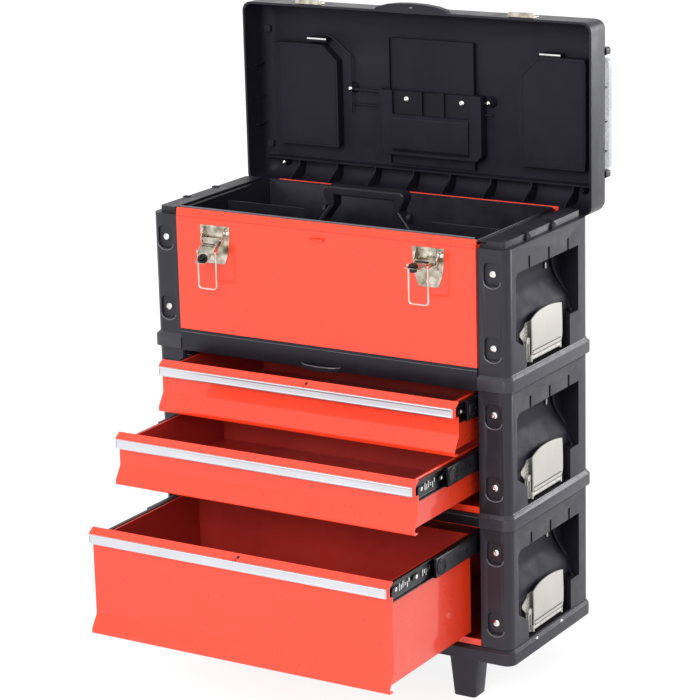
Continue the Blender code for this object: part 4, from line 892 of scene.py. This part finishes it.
class TOOLBOX_OT_drawers(bpy.types.Operator):
    """Add the three drawers: pressed fronts, brushed pulls, lock tabs and trays"""

    bl_idname = "toolbox.drawers"
    bl_label = "Drawers"

    def execute(self, context):
        for name, top, height, extension, side_drop, tab in DRAWERS:
            body = name + "_drawer"
            face, low = -1.0 - extension, top - height
            self.front(name, body, face, low, top, tab)
            self.pull(name, body, face, top)
            self.tray(name, body, extension, low, top, side_drop)
        return {"FINISHED"}

    def front(self, name, body, face, low, top, tab):
        """Sheet carried along its folded section: head slope, ledge, face, flared foot and return lip."""
        path = fillet([(face - 2.0, low), (face - 11.0, low), (face - 11.0, low + 6.0), (face, low + 22.5),
                       (face, top - 19.0), (face - 7.0, top - 19.0), (face - 7.0, top - 5.5), (face + 1.4, top)],
                      [0, 1.6, 5.0, 7.0, 1.2, 1.0, 1.6, 0], 5)
        parts = [slab(strip(path, -1.4), "X", -212.0, 212.0)]
        if tab:
            parts.append(slab(arc((-6.0, face - 8.6), (8.5, 4.6), 0, 1, 15), "Z", top - 6.5, top - 4.4))
            edge = arc((-6.0, face - 10.0), (8.5, 5.4), 0, 1, 15)
            parts.append(wire(to_axis("Z", edge, top - 4.4), 0.9, 8))
        build(name + "_front_pressing", parts, "red", body, nodes=(name + "_drawer_front",), bevel=0.35)
        if tab:
            # A dark disc in place of the hole through the tab: painted shade of the hole's inside
            points, faces = ring_loft("Z", (3.5, face - 3.6, 0), [(2.0, top - 4.2), (2.0, top - 3.0)], 16)
            points[:, 2] += (points[:, 1] - face + 3.6) * 0.655
            build(name + "_hasp_hole", [(points, faces)], "lock", body)

    def pull(self, name, body, face, top):
        """Channel with a shallow hollow down its face, clipped over the ledge."""
        back, front, high = face - 7.3, face - 11.0, top - 6.6
        low = high - 11.8
        section = [(back, high), (front + 0.4, high), (front, high - 1.4), (front + 0.5, high - 3.0),
                   (front + 0.5, low + 3.0), (front, low + 1.4), (front + 0.4, low), (back, low),
                   (back, low + 1.2), (front + 1.7, low + 1.2), (front + 1.7, high - 1.2), (back, high - 1.2)]
        radii = [0, 0.7, 0.4, 0.4, 0.4, 0.4, 0.7, 0, 0, 0.3, 0.3, 0]
        parts = both(pad("X", (front + 0.2, low + 0.2), (back + 0.2, high - 0.2), 0.8, 208.7, 209.7, 3))
        parts.append(cut("X", section, radii, -208.4, 208.4, 3))
        build(name + "_pull_strip", parts, "aluminium", body, nodes=(name + "_drawer_pull",), bevel=0.2)

    def hemmed(self, edge, low, rim):
        """Section of a sheet wall that folds inward over its top."""
        path = [(edge, low), (edge, rim - 0.9), (edge - 2.6, rim - 0.9), (edge - 2.6, rim - 7.0)]
        return strip(fillet(path, [0, 1.2, 1.2, 0]), 0.9)

    def tray(self, name, body, extension, low, top, side_drop):
        """Sheet walls with hemmed tops, thin darker red sheets inside them as painted shade, and the runners'
        inner members.
        """
        half, front, rear = 198.7, 0.7 - extension, 207.3 - extension
        rim = top - side_drop
        side = slab(self.hemmed(half, low, rim), "Y", front, rear)
        walls = [brick((-half, front, low), (half, rear, low + 1.2)), mirrored(side), side,
                 slab(self.hemmed(rear, low, rim), "X", -half, half),
                 brick((-half, front, low), (half, front + 1.0, rim))]
        build(name + "_tray_walls", walls, "red", body, nodes=(name + "_drawer_box",), bevel=0.3)
        # Thin sheets just inside the walls and on the floor in the darker red: painted shade inside the drawer
        inner = half - 3.0
        shade_sheets = both(brick((inner - 0.2, front + 1.1, low + 1.5), (inner + 0.2, rear - 3.0, rim - 1.0)))
        shade_sheets += [brick((-inner, front + 1.1, low + 1.3), (inner, rear - 3.0, low + 1.8)),
                   brick((-inner, rear - 3.2, low + 1.5), (inner, rear - 2.8, rim - 1.0)),
                   brick((-inner, front + 1.1, low + 1.5), (inner, front + 1.5, rim - 1.0))]
        build(name + "_tray_painted_shade", shade_sheets, "red_inside", body)
        centre, start = top - 20.0, 4.0 - extension
        web = [(203.3, centre - 11.0), (198.8, centre - 11.0), (198.8, centre + 11.0), (203.3, centre + 11.0)]
        members = [slab(strip(fillet(web, 1.0, 3), 1.2), "Y", start, start + 200.0)]
        marks = []
        for y in (start + 14.0, start + 62.0, start + 118.0, start + 168.0):
            members.append(pad("X", (y, centre - 3.2), (y + 16.0, centre + 3.2), 3.0, 199.6, 200.9))
            marks.append(screw_head("X", (200.9, y + 8.0, centre), 2.6, 1.2, 1))
        # Short pressed marks: distance from the member's front end, height from its middle, length
        for y, h, tall in ((30, 0, 9), (34, -1, 6), (38, 1, 8), (43, 0, 4), (48, -2, 7), (52, 2, 5), (84, 0, 8),
                           (88, 1, 5), (92, -1, 9), (97, 0, 5), (101, 2, 6)):
            y, h = start + y, centre + h
            marks.append(brick((199.7, y, h - tall / 2), (200.6, y + 1.9, h + tall / 2)))
        build(name + "_inner_members", both(*members), "runner", body, bevel=0.15)
        build(name + "_member_rivets", both(*marks), "screw", body)


class TOOLBOX_OT_runners(bpy.types.Operator):
    """Finish the cabinets with their rails, and add the runners' carriers with ball cages"""

    bl_idname = "toolbox.runners"
    bl_label = "Cabinets and runners"

    def execute(self, context):
        for node in ("bottom_cabinet", "middle_cabinet"):
            piece = from_node(node, "red", 0.0)
            by_region(piece, "runner", lambda x, y, z: (abs(x) > 203) & (abs(x) < 211.45) & (y > 3.9)
                      & (y < 205))
            # Painted shade: the cabinet's inside faces take the darker red
            by_region(piece, "red_inside", lambda x, y, z: (abs(x) < 203.0) & (y > 3.0) & (y < 211.0))
            # Painted shade between the cabinet and the end frames: its faces outside the posts take the darker,
            # duller moulding
            by_region(piece, "inner", lambda x, y, z: (abs(x) > 211.46) & (y < 211.0))
        # Thin dark strips in the gap between each cabinet's front edge and the post: painted shade
        edges = [brick((211.4, 1.25, 73.2), (212.6, 1.48, 225.7)),
                 brick((211.4, 1.25, 243.5), (212.6, 1.48, 396.8))]
        build("cabinet_edge_shade_strips", both(*edges), "inner")
        ball = [(0.5, 203.2), (1.5, 203.9), (1.5, 206.0), (0.5, 206.7)]
        button = [(9.5, 208.2), (10.5, 208.6), (10.5, 209.3), (9.5, 209.8)]
        dot = [(1.6, 209.5), (1.6, 210.1), (0.6, 210.4)]
        for name, top, _, extension, *_ in DRAWERS:
            centre, start = top - 20.0, 4.6 - extension / 2
            low, high = centre - 12.5, centre + 12.5
            path = [(202.4, low), (208.4, low), (208.4, high), (202.4, high)]
            carrier = [slab(strip(fillet(path, 2.2, 4), 1.2), "Y", start, start + 198.8)]
            cage, balls = [], []
            for z in (centre - 9.6, centre + 9.6):
                cage.append(brick((204.2, start + 2.0, z - 1.0), (206.4, start + 78.0, z + 1.0)))
                balls += [ring_loft("X", (0, start + 6.0 + k * 6.2, z), ball, 10) for k in range(12)]
            stop = [(start + 1.0, centre - 10.6), (start + 13.0, centre - 10.6), (start + 9.0, centre),
                    (start + 13.0, centre + 10.6), (start + 1.0, centre + 10.6)]
            cage.append(cut("X", stop, 1.5, 204.6, 207.0, 3))
            cage.append(ring_loft("X", (0, start + 11.6, centre), button, 28))
            cage += [ring_loft("X", (0, y, z), dot, 12) for y, z in (start + 11.6, centre) + 6.6 * circle(6)]
            for y in (start + 30.0, start + 52.0, start + 74.0):
                cage.append(pad("X", (y - 4, centre - 3), (y + 4, centre + 3), 2.8, 208.3, 208.6))
            for word, side in SIDES:
                node = f"{name}_carrier_{word}"
                body = BODY_OF[node]
                build(node + "_channel", sided(carrier, side), "runner", body, nodes=(node,), bevel=0.2)
                build(node + "_cage", sided(cage, side), "lock", body, bevel=0.2)
                build(node + "_balls", sided(balls, side), "screw", body)
        return {"FINISHED"}


class TOOLBOX_OT_lid(bpy.types.Operator):
    """Add the lid's inner relief: wells, centre panel, handle boss, ribs, gussets and bosses"""

    bl_idname = "toolbox.lid"
    bl_label = "Lid"

    def execute(self, context):
        shell = from_node("lid_shell", "black", context.scene.toolbox_looks.moulded_edge)
        # Painted shade: the lid's inside faces take the darker, duller moulding
        by_region(shell, "inner", lambda x, y, z: (y > 222.3) & (y < LID_WALL) & (abs(x) < 249.9) & (z > 570.1)
                  & (z < 805.0))
        # Painted shade in the middle of the handle recess
        by_region(shell, "recess", lambda x, y, z: (abs(x) < 62) & (abs(y - 260) < 0.3) & (z > 630) & (z < 699))
        self.wells()
        self.centre()
        self.ribs()
        self.outside()
        screws = bolt_row("Y", [(-30, 260.2, 688), (51, 260.2, 688)], 4.0, 2.4, -1)
        screws += bolt_row("Y", [(-114, 261.2, 696), (89, 261.2, 691), (-220, 261.2, 590)], 3.2, 3.0, -1)
        build("lid_screws", screws, "screw", "lid")
        slits = [brick((x, 257.9, 757.4), (x + 29, 258.8, 759.3)) for x in (-177, 163)]
        build("lid_slits", slits, "screw", "lid")
        return {"FINISHED"}

    def wells(self):
        """The backs of the two organizer wells, each with a fine rim line, and the border beside them."""
        left = [(-223.5, 617), (-132, 617), (-132, 731), (-155.5, 751), (-223.5, 751)]
        right = [(136, 615), (226, 615), (226, 755), (160, 755), (136, 733.5)]
        parts = []
        for outline, middle in ((left, (-178, 684)), (right, (182, 685))):
            outline = fillet(outline, 3.0, 4, closed=True)
            parts.append(slab(outline, "Y", 257.2, LID_WALL))
            rim = (outline - middle) * (0.93, 0.95) + middle
            parts.append(wire(to_axis("Y", rim, 257.3), 0.7, 8, closed=True))
        border = fillet([(-147, 262, 763), (-139, 262, 760), (-113, 262, 739), (-114, 262, 664)], 3, 4)
        parts.append(wire(border, 1.5, 8))
        parts += [brick((x, 258.5, 754.5), (x + 29, LID_WALL, 759.5)) for x in (-177, 163)]
        # The wells, the border and the blocks take the darker, duller moulding: painted shade
        build("lid_wells", parts, "inner", "lid", "black_moulding", bevel=0.9)

    def centre(self):
        """The centre panel with its rail, the ears of the handle recess and the roll between them."""
        centre = [pad("Y", (-57, 601), (66, 765), 2.5, 266.5, LID_WALL)]
        for x in (-57, 66):
            centre.append(brick((x - 0.9, 262.5, 602), (x + 0.9, 266.6, 765)))
        rail = fillet([(-118, 263.5, 695), (-70, 263.5, 693.8), (90, 263.5, 690)], 2, 3)
        centre.append(wire(rail, 1.7, 10))
        centre.append(brick((-116, 266.2, 673.4), (92, 268.5, 675.4)))
        ears = [(-65, 622), (-58, 615), (74, 615), (81, 622), (81, 699), (64, 699), (64, 668), (-49, 668),
                (-49, 699), (-65, 699)]
        centre.append(cut("Y", ears, [3, 3, 3, 3, 3, 2, 2, 2, 2, 3], 255.2, LID_WALL))
        roll = [(256.0, 618), (252.4, 624), (252.4, 664), (256.0, 667.5), (LID_WALL, 667.5), (LID_WALL, 618)]
        centre.append(cut("X", roll, [1, 3, 3, 1, 0, 0], -48.5, 63.5, 5))
        for x in (-6, 26):
            centre.append(brick((x - 1.0, 255.6, 667), (x + 1.0, 260.4, 700)))
        # The centre relief takes the darker, duller moulding: painted shade
        build("lid_centre_relief", centre, "inner", "lid", "black_moulding", bevel=0.9, segments=3)

    def ribs(self):
        """Gussets along the hinge side, ribs at the sides and the far edge, and the screw bosses."""
        gusset = [(233.5, 576.5), (252, 586.5), (256, 591), (256, 597.5), (LID_WALL, 597.5), (LID_WALL, 572.5),
                  (233.5, 572.5)]
        ribs = [cut("X", gusset, 1.2, x - 0.9, x + 0.9, 3)
                for x in (-193, -135, -77, -19.5, 34, 93.5, 151.5, 210)]
        ribs.append(brick((-246, 256.5, 595.2), (246, LID_WALL, 597.4)))
        for z in (721, 678, 641):
            ribs += both(brick((246.5, 243, z - 0.9), (249.9, LID_WALL, z + 0.9)))
        for x in (-196, -135, -75, 48, 110, 200):
            ribs.append(brick((x - 0.8, 240, 800.6), (x + 0.8, LID_WALL, 804.4)))
        for x, height, radius in ((-114, 696, 7.5), (89, 691, 7.5), (-220, 590, 6.5), (219, 590, 6.5)):
            cone = np.array([(1.0, LID_WALL), (0.92, LID_WALL - 2), (0.52, 262.5), (0.46, 261.0), (0.26, 261.0),
                             (0.24, 264.0)]) * (radius, 1)
            ribs.append(ring_loft("Y", (x, 0, height), cone, 28))
        # The ribs, gussets and bosses take the darker, duller moulding: painted shade
        build("lid_ribs", ribs, "inner", "lid", "black_moulding", bevel=0.4)

    def outside(self):
        """Knobs and frame ribs on the lid's outside."""
        parts = [pad("Y", (-82, z - 2.2), (82, z + 2.2), 2.1, 272.5, 275.2, 4) for z in (604, 779)]
        for z in (612.5, 766.0):
            parts += both(pad("Y", (238.5, z - 4.6), (252.5, z + 4.6), 2.6, 264.0, 275.5))
        for x in (88, 104):
            parts += both(pad("Y", (x - 2.2, 592), (x + 2.2, 792), 2.1, 272.5, 275.2, 4))
        build("lid_back_ribs", parts, "charcoal", "lid", bevel=0.5)


class TOOLBOX_OT_covers(bpy.types.Operator):
    """Add the two clear bowed covers over the lid's wells"""

    bl_idname = "toolbox.covers"
    bl_label = "Clear covers"

    def execute(self, context):
        outer = rect((131.0, 615.5), (250.5, 756.0), 7.0, 6)
        inner = rect((133.2, 617.7), (248.3, 753.8), 5.0, 6)
        brow = rect((135.0, 619.5), (246.5, 752.0), 7.0, 6)
        rings = np.array([to_axis("Y", outline, y) for outline, y in (
            (outer, 274.5), (outer, 283.5), (brow, 288.0), (inner, 286.0), (inner, 274.5))])
        parts = [(rings.reshape(-1, 3), grid_faces(5, rings.shape[1], True, True)),
                 pad("Y", (134.6, 619.0), (246.9, 752.4), 6.0, 286.4, 288.2, 6),
                 pad("Y", (181.0, 611.5), (199.0, 620.0), 2.5, 276.0, 281.0)]
        for a in (150.0, 212.0):
            barrel = [(1.9, a), (2.6, a + 0.6), (2.6, a + 17.4), (1.9, a + 18)]
            parts.append(ring_loft("X", (0, 276.5, 766.6), barrel, 18))
            parts.append(pad("Y", (a + 2, 752.0), (a + 16, 766.0), 2.0, 275.5, 277.5))
        for name, side in SIDES:
            node = name + "_organizer_cover"
            build(node + "_bowl", sided(parts, side), "clear", BODY_OF[node], nodes=(node,), bevel=0.4)
        return {"FINISHED"}


class TOOLBOX_OT_tray(bpy.types.Operator):
    """Finish the lift-out tray and its handle with rim beads, ribs and ribbed hinge blocks"""

    bl_idname = "toolbox.tray"
    bl_label = "Lift-out tray"

    def execute(self, context):
        soft = context.scene.toolbox_looks.moulded_edge
        from_node("tote_tray", "black", soft)
        from_node("tote_handle", "black", 2.2, segments=4)
        rim = rect((-208.0, 3.2), (208.0, 204.8), 6.0, 6)
        parts = [pad("X", (y - 9, 520.5), (y + 9, 571.0), 3.0, 207.1, 208.1) for y in (40.0, 107.0, 174.0)]
        hub = [(6.0, 58.0), (7.2, 59.0), (7.2, 62.0), (5.0, 63.4)]
        parts.append(ring_loft("X", (0, 107.0, 571.0), hub, 28))
        parts = both(*parts) + [wire(to_axis("Z", rim, 578.6), 1.1, 10, closed=True)]
        build("tray_beads", parts, "black", "tray", bevel=0.4)
        # A thin paler, glossier line along the tray's front edge: painted highlight
        edge = wire([(-209.5, 1.6, 582.9), (0, 1.6, 582.9), (209.5, 1.6, 582.9)], 1.2, 10)
        # A thin darker red line in the crease of the panel's head: painted shade
        crease_shade_line = wire([(-212.2, -3.0, 571.6), (0, -3.0, 571.6), (212.2, -3.0, 571.6)], 0.35, 6)
        build("tray_front_edge_highlight", [edge], "lip", "tray")
        build("head_crease_shade", [crease_shade_line], "red_inside")
        return {"FINISHED"}


class TOOLBOX_OT_front_latches(bpy.types.Operator):
    """Finish the two draw latches: stepped plates with rivets, channel levers, bails and key barrels"""

    bl_idname = "toolbox.front_latches"
    bl_label = "Front latches"

    def execute(self, context):
        for name, centre, rise, lean in (("left", -154.5, 0.0, 45.0), ("right", 149.5, 3.0, 84.0)):
            foot, head = 516.0 + rise, 564.5 + rise
            pivot = (centre, -9.4, 547.5 + rise)
            taper = [(-14, foot), (14, foot), (20, foot + 18), (22, head), (-22, head), (-20, foot + 18)]
            taper = fillet(np.array(taper) + (centre, 0), [3, 3, 6, 2.5, 2.5, 6], 5, closed=True)
            middle = (centre, foot + 25)
            stamped = (taper - middle) * (0.82, 0.84) + middle
            base = [slab(taper, "Y", -4.6, -3.4), slab(stamped, "Y", -5.2, -4.4)]
            ear = [(-3.6, foot + 22), (-3.6, head - 2), (-7, head - 2), (-12.4, pivot[2] + 3.5),
                   (-12.4, pivot[2] - 3.5), (-7, foot + 22)]
            for x in (centre - 15.4, centre + 15.4):
                washer = [(2.2, x - 1.4), (2.6, x - 1.0), (2.6, x + 1.0), (2.2, x + 1.4)]
                base.append(cut("X", ear, 2.0, x - 0.7, x + 0.7))
                base.append(ring_loft("X", (0, pivot[1], pivot[2]), washer, 18))
            build(name + "_latch_base", base, "nickel", nodes=(name + "_latch_plate",), bevel=0.35)
            spots = [(centre + k, -4.6, head - 9) for k in (-18.2, 18.2)] + [(centre, -5.2, foot + 6.5)]
            build(name + "_latch_rivets", bolt_row("Y", spots, 2.7, 1.7, -1), "screw")
            lever, marks = [[turned(part, pivot, (1, 0, 0), -lean) for part in draw(centre, pivot)]
                            for draw in (self.lever, self.lever_marks)]
            node = name + "_latch_lever"
            build(name + "_lever_channel", lever, "nickel", BODY_OF[node], nodes=(node,), bevel=0.4)
            build(name + "_lever_marks", marks, "lock", BODY_OF[node], bevel=0.2)
            low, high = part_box(name + "_bail")
            top, bottom, y = high.z / MM - 1.4, low.z / MM + 5.4, (low.y + high.y) / 2 / MM - FRONT / MM
            bow = fillet([(13.2, y, top), (13.2, y, bottom), (-13.2, y, bottom), (-13.2, y, top)], 4.5, 6)
            ends = [ring_loft("X", (0, y, top), [(1.8, centre + k - 1.6), (1.8, centre + k + 1.6)], 14)
                    for k in (-13.2, 13.2)]
            parts = [wire(bow + (centre, 0, 0), 1.15, 12)] + ends
            build(name + "_bail_wire", parts, "wire", BODY_OF[name + "_bail"], nodes=(name + "_bail",))
        return {"FINISHED"}

    def lever(self, centre, pivot):
        """Channel on a grid, u across, v down: its face bows out by a sine of v; with cheeks and a barrel."""
        top, low = pivot[2] + 2.5, pivot[2] - 38.0
        u, v = np.meshgrid(np.linspace(-1, 1, 13), np.linspace(0, 1, 13), indexing="ij")
        half = 12.6 - 4.8 * v
        y = -1.2 - 2.6 * np.sin(np.pi * v) * (1 - 0.3 * u * u) - 3.6 * np.clip(v - 0.8, 0, 1) * 5
        front = np.stack([centre + u * half, pivot[1] + y, top + (low - top) * v], -1)
        cheek = [(pivot[1] - 1.4, top), (pivot[1] + 3.2, top - 1), (pivot[1] + 3.2, pivot[2] - 14),
                 (pivot[1] - 3.6, low + 9), (pivot[1] - 3.8, pivot[2] - 14)]
        barrel = [(2.4, centre - 13.6), (2.9, centre - 13.0), (2.9, centre + 13.0), (2.4, centre + 13.6)]
        parts = [cut("X", cheek, 1.5, x - 0.5, x + 0.5, 3) for x in (centre - 11.0, centre + 11.0)]
        return parts + [thick_grid(front, front + (0, 1.1, 0)), ring_loft("X", (0, *pivot[1:]), barrel, 20)]

    def lever_marks(self, centre, pivot):
        """The dark bore beside the key barrel and two pressed lines."""
        z = pivot[2] - 30.5
        ring = hoop("Y", (centre, pivot[1] - 4.6, z), [(6.4, -0.5), (6.4, 0.6), (5.0, 0.6), (5.0, -0.5)], 32)
        return [ring] + [brick((centre - 9, pivot[1] - 4.0, h), (centre + 9, pivot[1] - 2.9, h + 0.7))
                         for h in (pivot[2] - 9.0, pivot[2] - 12.0)]


class TOOLBOX_OT_wheels(bpy.types.Operator):
    """Add the tyres with their tread and the spoked hubs, and finish the axle"""

    bl_idname = "toolbox.wheels"
    bl_label = "Wheels"

    def execute(self, context):
        section = [(33.2, 144.6), (41.5, 144.2), (45.2, 149.0), (45.8, 156.0), (45.8, 164.0), (45.2, 171.0),
                   (41.5, 175.8), (33.2, 175.4)]
        tyre = [hoop("X", AXLE, fillet(section, 2.4, 4, closed=True), 72)]
        for x in (150.5, 155.3, 160.0, 164.7, 169.5):
            bead = [(44.8, x - 1.6), (46.0, x - 1.3), (46.0, x + 1.3), (44.8, x + 1.6)]
            tyre.append(hoop("X", AXLE, bead, 72))
        rim = rect((28.5, 146.5), (33.0, 173.5), 1.0, 3)
        nave = [(5.4, 145.0), (11.5, 145.0), (13.0, 148.0), (13.0, 172.0), (11.5, 175.0), (5.4, 175.0)]
        spoke = cut("X", [(258.6, 58.0), (260.4, 75.5), (265.6, 75.5), (267.4, 58.0)], 1.0, 152.0, 168.0, 3)
        hub = [turned(spoke, AXLE, (1, 0, 0), 45.0 * k) for k in range(8)]
        hub += [hoop("X", AXLE, rim, 64), hoop("X", AXLE, fillet(nave, 0.8, 3, closed=True), 40),
                hoop("X", AXLE, rect((11, 159.2), (30, 160.8)), 48)]
        for name, side in SIDES:
            body = BODY_OF[name + "_tyre"]
            build(name + "_tyre_tread", sided(tyre, side), "tyre", body, nodes=(name + "_tyre",), bevel=0.3)
            build(name + "_spoked_hub", sided(hub, side), "charcoal", body, nodes=(name + "_hub",), bevel=0.5)
        return {"FINISHED"}


class TOOLBOX_OT_pull_handle(bpy.types.Operator):
    """Add the telescopic handle: drawn tubes, ribbed grip with its release button, sleeves with collars"""

    bl_idname = "toolbox.pull_handle"
    bl_label = "Pull handle"

    def execute(self, context):
        from_node("pull_tube", "tube", 0.3)
        from_node("handle_sleeves", "zinc", 0.5)
        from_node("pull_grip", "charcoal", 3.0, segments=4)
        from_node("release_button", "red", 1.2, segments=3)
        ribs = []
        for x in np.arange(42.0, 90.0, 7.5):
            ribs.append(pad("X", (280.4, 586.2), (305.6, 611.4), 9.0, x - 1.5, x + 1.5, 6))
        for z, radius in ((584.2, 12.0), (579.5, 11.2)):
            collar = [(radius - 0.8, z - 2.0), (radius, z - 1.4), (radius, z + 1.4), (radius - 0.8, z + 2.0)]
            ribs.append(ring_loft("Z", (*TUBE, 0), collar, 32))
        build("grip_ribs", both(*ribs), "charcoal", BODY_OF["pull_grip"], bevel=0.4)
        section = fillet([(11.0, -4), (12.4, -3.4), (12.4, 3.4), (11.0, 4)], 0.5, 3, closed=True)
        collars = [hoop("Z", (*TUBE, z), section, 32) for z in (90.0, 300.5, 329.5, 520.0)]
        rivets = bolt_row("Y", [(73.0, 304.1, 308.0), (73.0, 304.1, 322.0)], 3.0, 1.6, 1)
        build("sleeve_collars", both(*collars), "charcoal", bevel=0.3)
        build("sleeve_rivets", both(*rivets), "screw")
        return {"FINISHED"}


class TOOLBOX_OT_back(bpy.types.Operator):
    """Add the pressed beads and rivets of the cabinets' backs, the bracket's rivets and the deck's ribs"""

    bl_idname = "toolbox.back"
    bl_label = "Back"

    def execute(self, context):
        beads, rivets = [], []
        for low, high in ((72.9, 226.0), (243.2, 398.5), (426.6, 574.3)):
            for share in (0.28, 0.72):
                z = low + share * (high - low)
                outline = rect((-186, z - 4.5), (186, z + 4.5), 4.4, 6)
                inner = rect((-184, z - 2.6), (184, z + 2.6), 2.5, 6)
                beads.append(capped([to_axis("Y", outline, 211.6), to_axis("Y", outline, 212.05),
                                     to_axis("Y", inner, 213.2)]))
            for z in (low + 12, (low + high) / 2, high - 12):
                rivets += bolt_row("Y", [(x, 211.9, z) for x in (-204, 204)], 2.6, 1.4, 1)
        build("back_beads", beads, "red", crease=50)
        for z in (307.5, 322.5):
            rivets += bolt_row("Y", [(x, 215.2, z) for x in (-122, -66, 66, 122)], 2.8, 1.6, 1)
        build("back_rivets", rivets, "screw")
        ribs = [pad("Z", (x - 1.6, 226), (x + 1.6, 276), 1.5, 72.2, 74.4, 4) for x in (22, 66, 110)]
        ribs.append(pad("Z", (172.5, 8.0), (195.5, 32.0), 3.5, 0.1, 2.4, 4))
        flange = [(11.0, 72.6), (15.5, 72.6), (15.5, 75.6), (13.0, 80.0), (11.0, 80.0)]
        ribs.append(hoop("Z", (*TUBE, 0), fillet(flange, 0.8, 3, closed=True), 36))
        build("deck_ribs", both(*ribs), "charcoal", bevel=0.4)
        return {"FINISHED"}


class TOOLBOX_OT_carried(bpy.types.Operator):
    """Soften and finish the pieces whose modelled shape is already right"""

    bl_idname = "toolbox.carried"
    bl_label = "Carried pieces"

    def execute(self, context):
        looks = context.scene.toolbox_looks
        done = {node for piece in bpy.data.objects for node in piece.get("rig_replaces", [])}
        for node, slot in SLOT_OF.items():
            if node in done:
                continue
            soft = looks.sheet_edge if "steel" in slot else looks.moulded_edge
            from_node(node, NODE_FINISH[slot], soft)
        return {"FINISHED"}


OPERATORS = (
    TOOLBOX_OT_stage, TOOLBOX_OT_top_box, TOOLBOX_OT_rails, TOOLBOX_OT_end_frames, TOOLBOX_OT_side_latches,
    TOOLBOX_OT_drawers, TOOLBOX_OT_runners, TOOLBOX_OT_lid, TOOLBOX_OT_covers, TOOLBOX_OT_tray,
    TOOLBOX_OT_front_latches, TOOLBOX_OT_wheels, TOOLBOX_OT_pull_handle, TOOLBOX_OT_back, TOOLBOX_OT_carried,
)


class TOOLBOX_PT_panel(bpy.types.Panel):
    """Buttons for the tool box's pieces, its looks and its studio."""

    bl_idname = "TOOLBOX_PT_panel"
    bl_label = "Rolling tool box"
    bl_space_type = "VIEW_3D"
    bl_region_type = "UI"
    bl_category = "Tool box"

    def draw(self, context):
        column = self.layout.column(align=True)
        for group in (context.scene.toolbox_looks, context.scene.toolbox_stage):
            for name in group.bl_rna.properties.keys():
                if name not in ("rna_type", "name"):
                    column.prop(group, name)
        for operator in OPERATORS:
            column.operator(operator.bl_idname)


CLASSES = (ToolBoxLooks, ToolBoxStage) + OPERATORS + (TOOLBOX_PT_panel,)


def register():
    """Make the classes known and hang the two property groups on the scene."""
    for piece_class in CLASSES:
        bpy.utils.register_class(piece_class)
    bpy.types.Scene.toolbox_looks = bpy.props.PointerProperty(type=ToolBoxLooks)
    bpy.types.Scene.toolbox_stage = bpy.props.PointerProperty(type=ToolBoxStage)


def unregister():
    """Take the property groups and the classes away again."""
    del bpy.types.Scene.toolbox_stage
    del bpy.types.Scene.toolbox_looks
    for piece_class in reversed(CLASSES):
        bpy.utils.unregister_class(piece_class)


def main():
    """Build everything in the operators' order."""
    register()
    FINISHES.update(make_finishes(bpy.context.scene.toolbox_looks))
    for operator in OPERATORS:
        group, name = operator.bl_idname.split(".")
        getattr(getattr(bpy.ops, group), name)()
    bpy.context.view_layer.update()


if __name__ == "__main__":
    main()
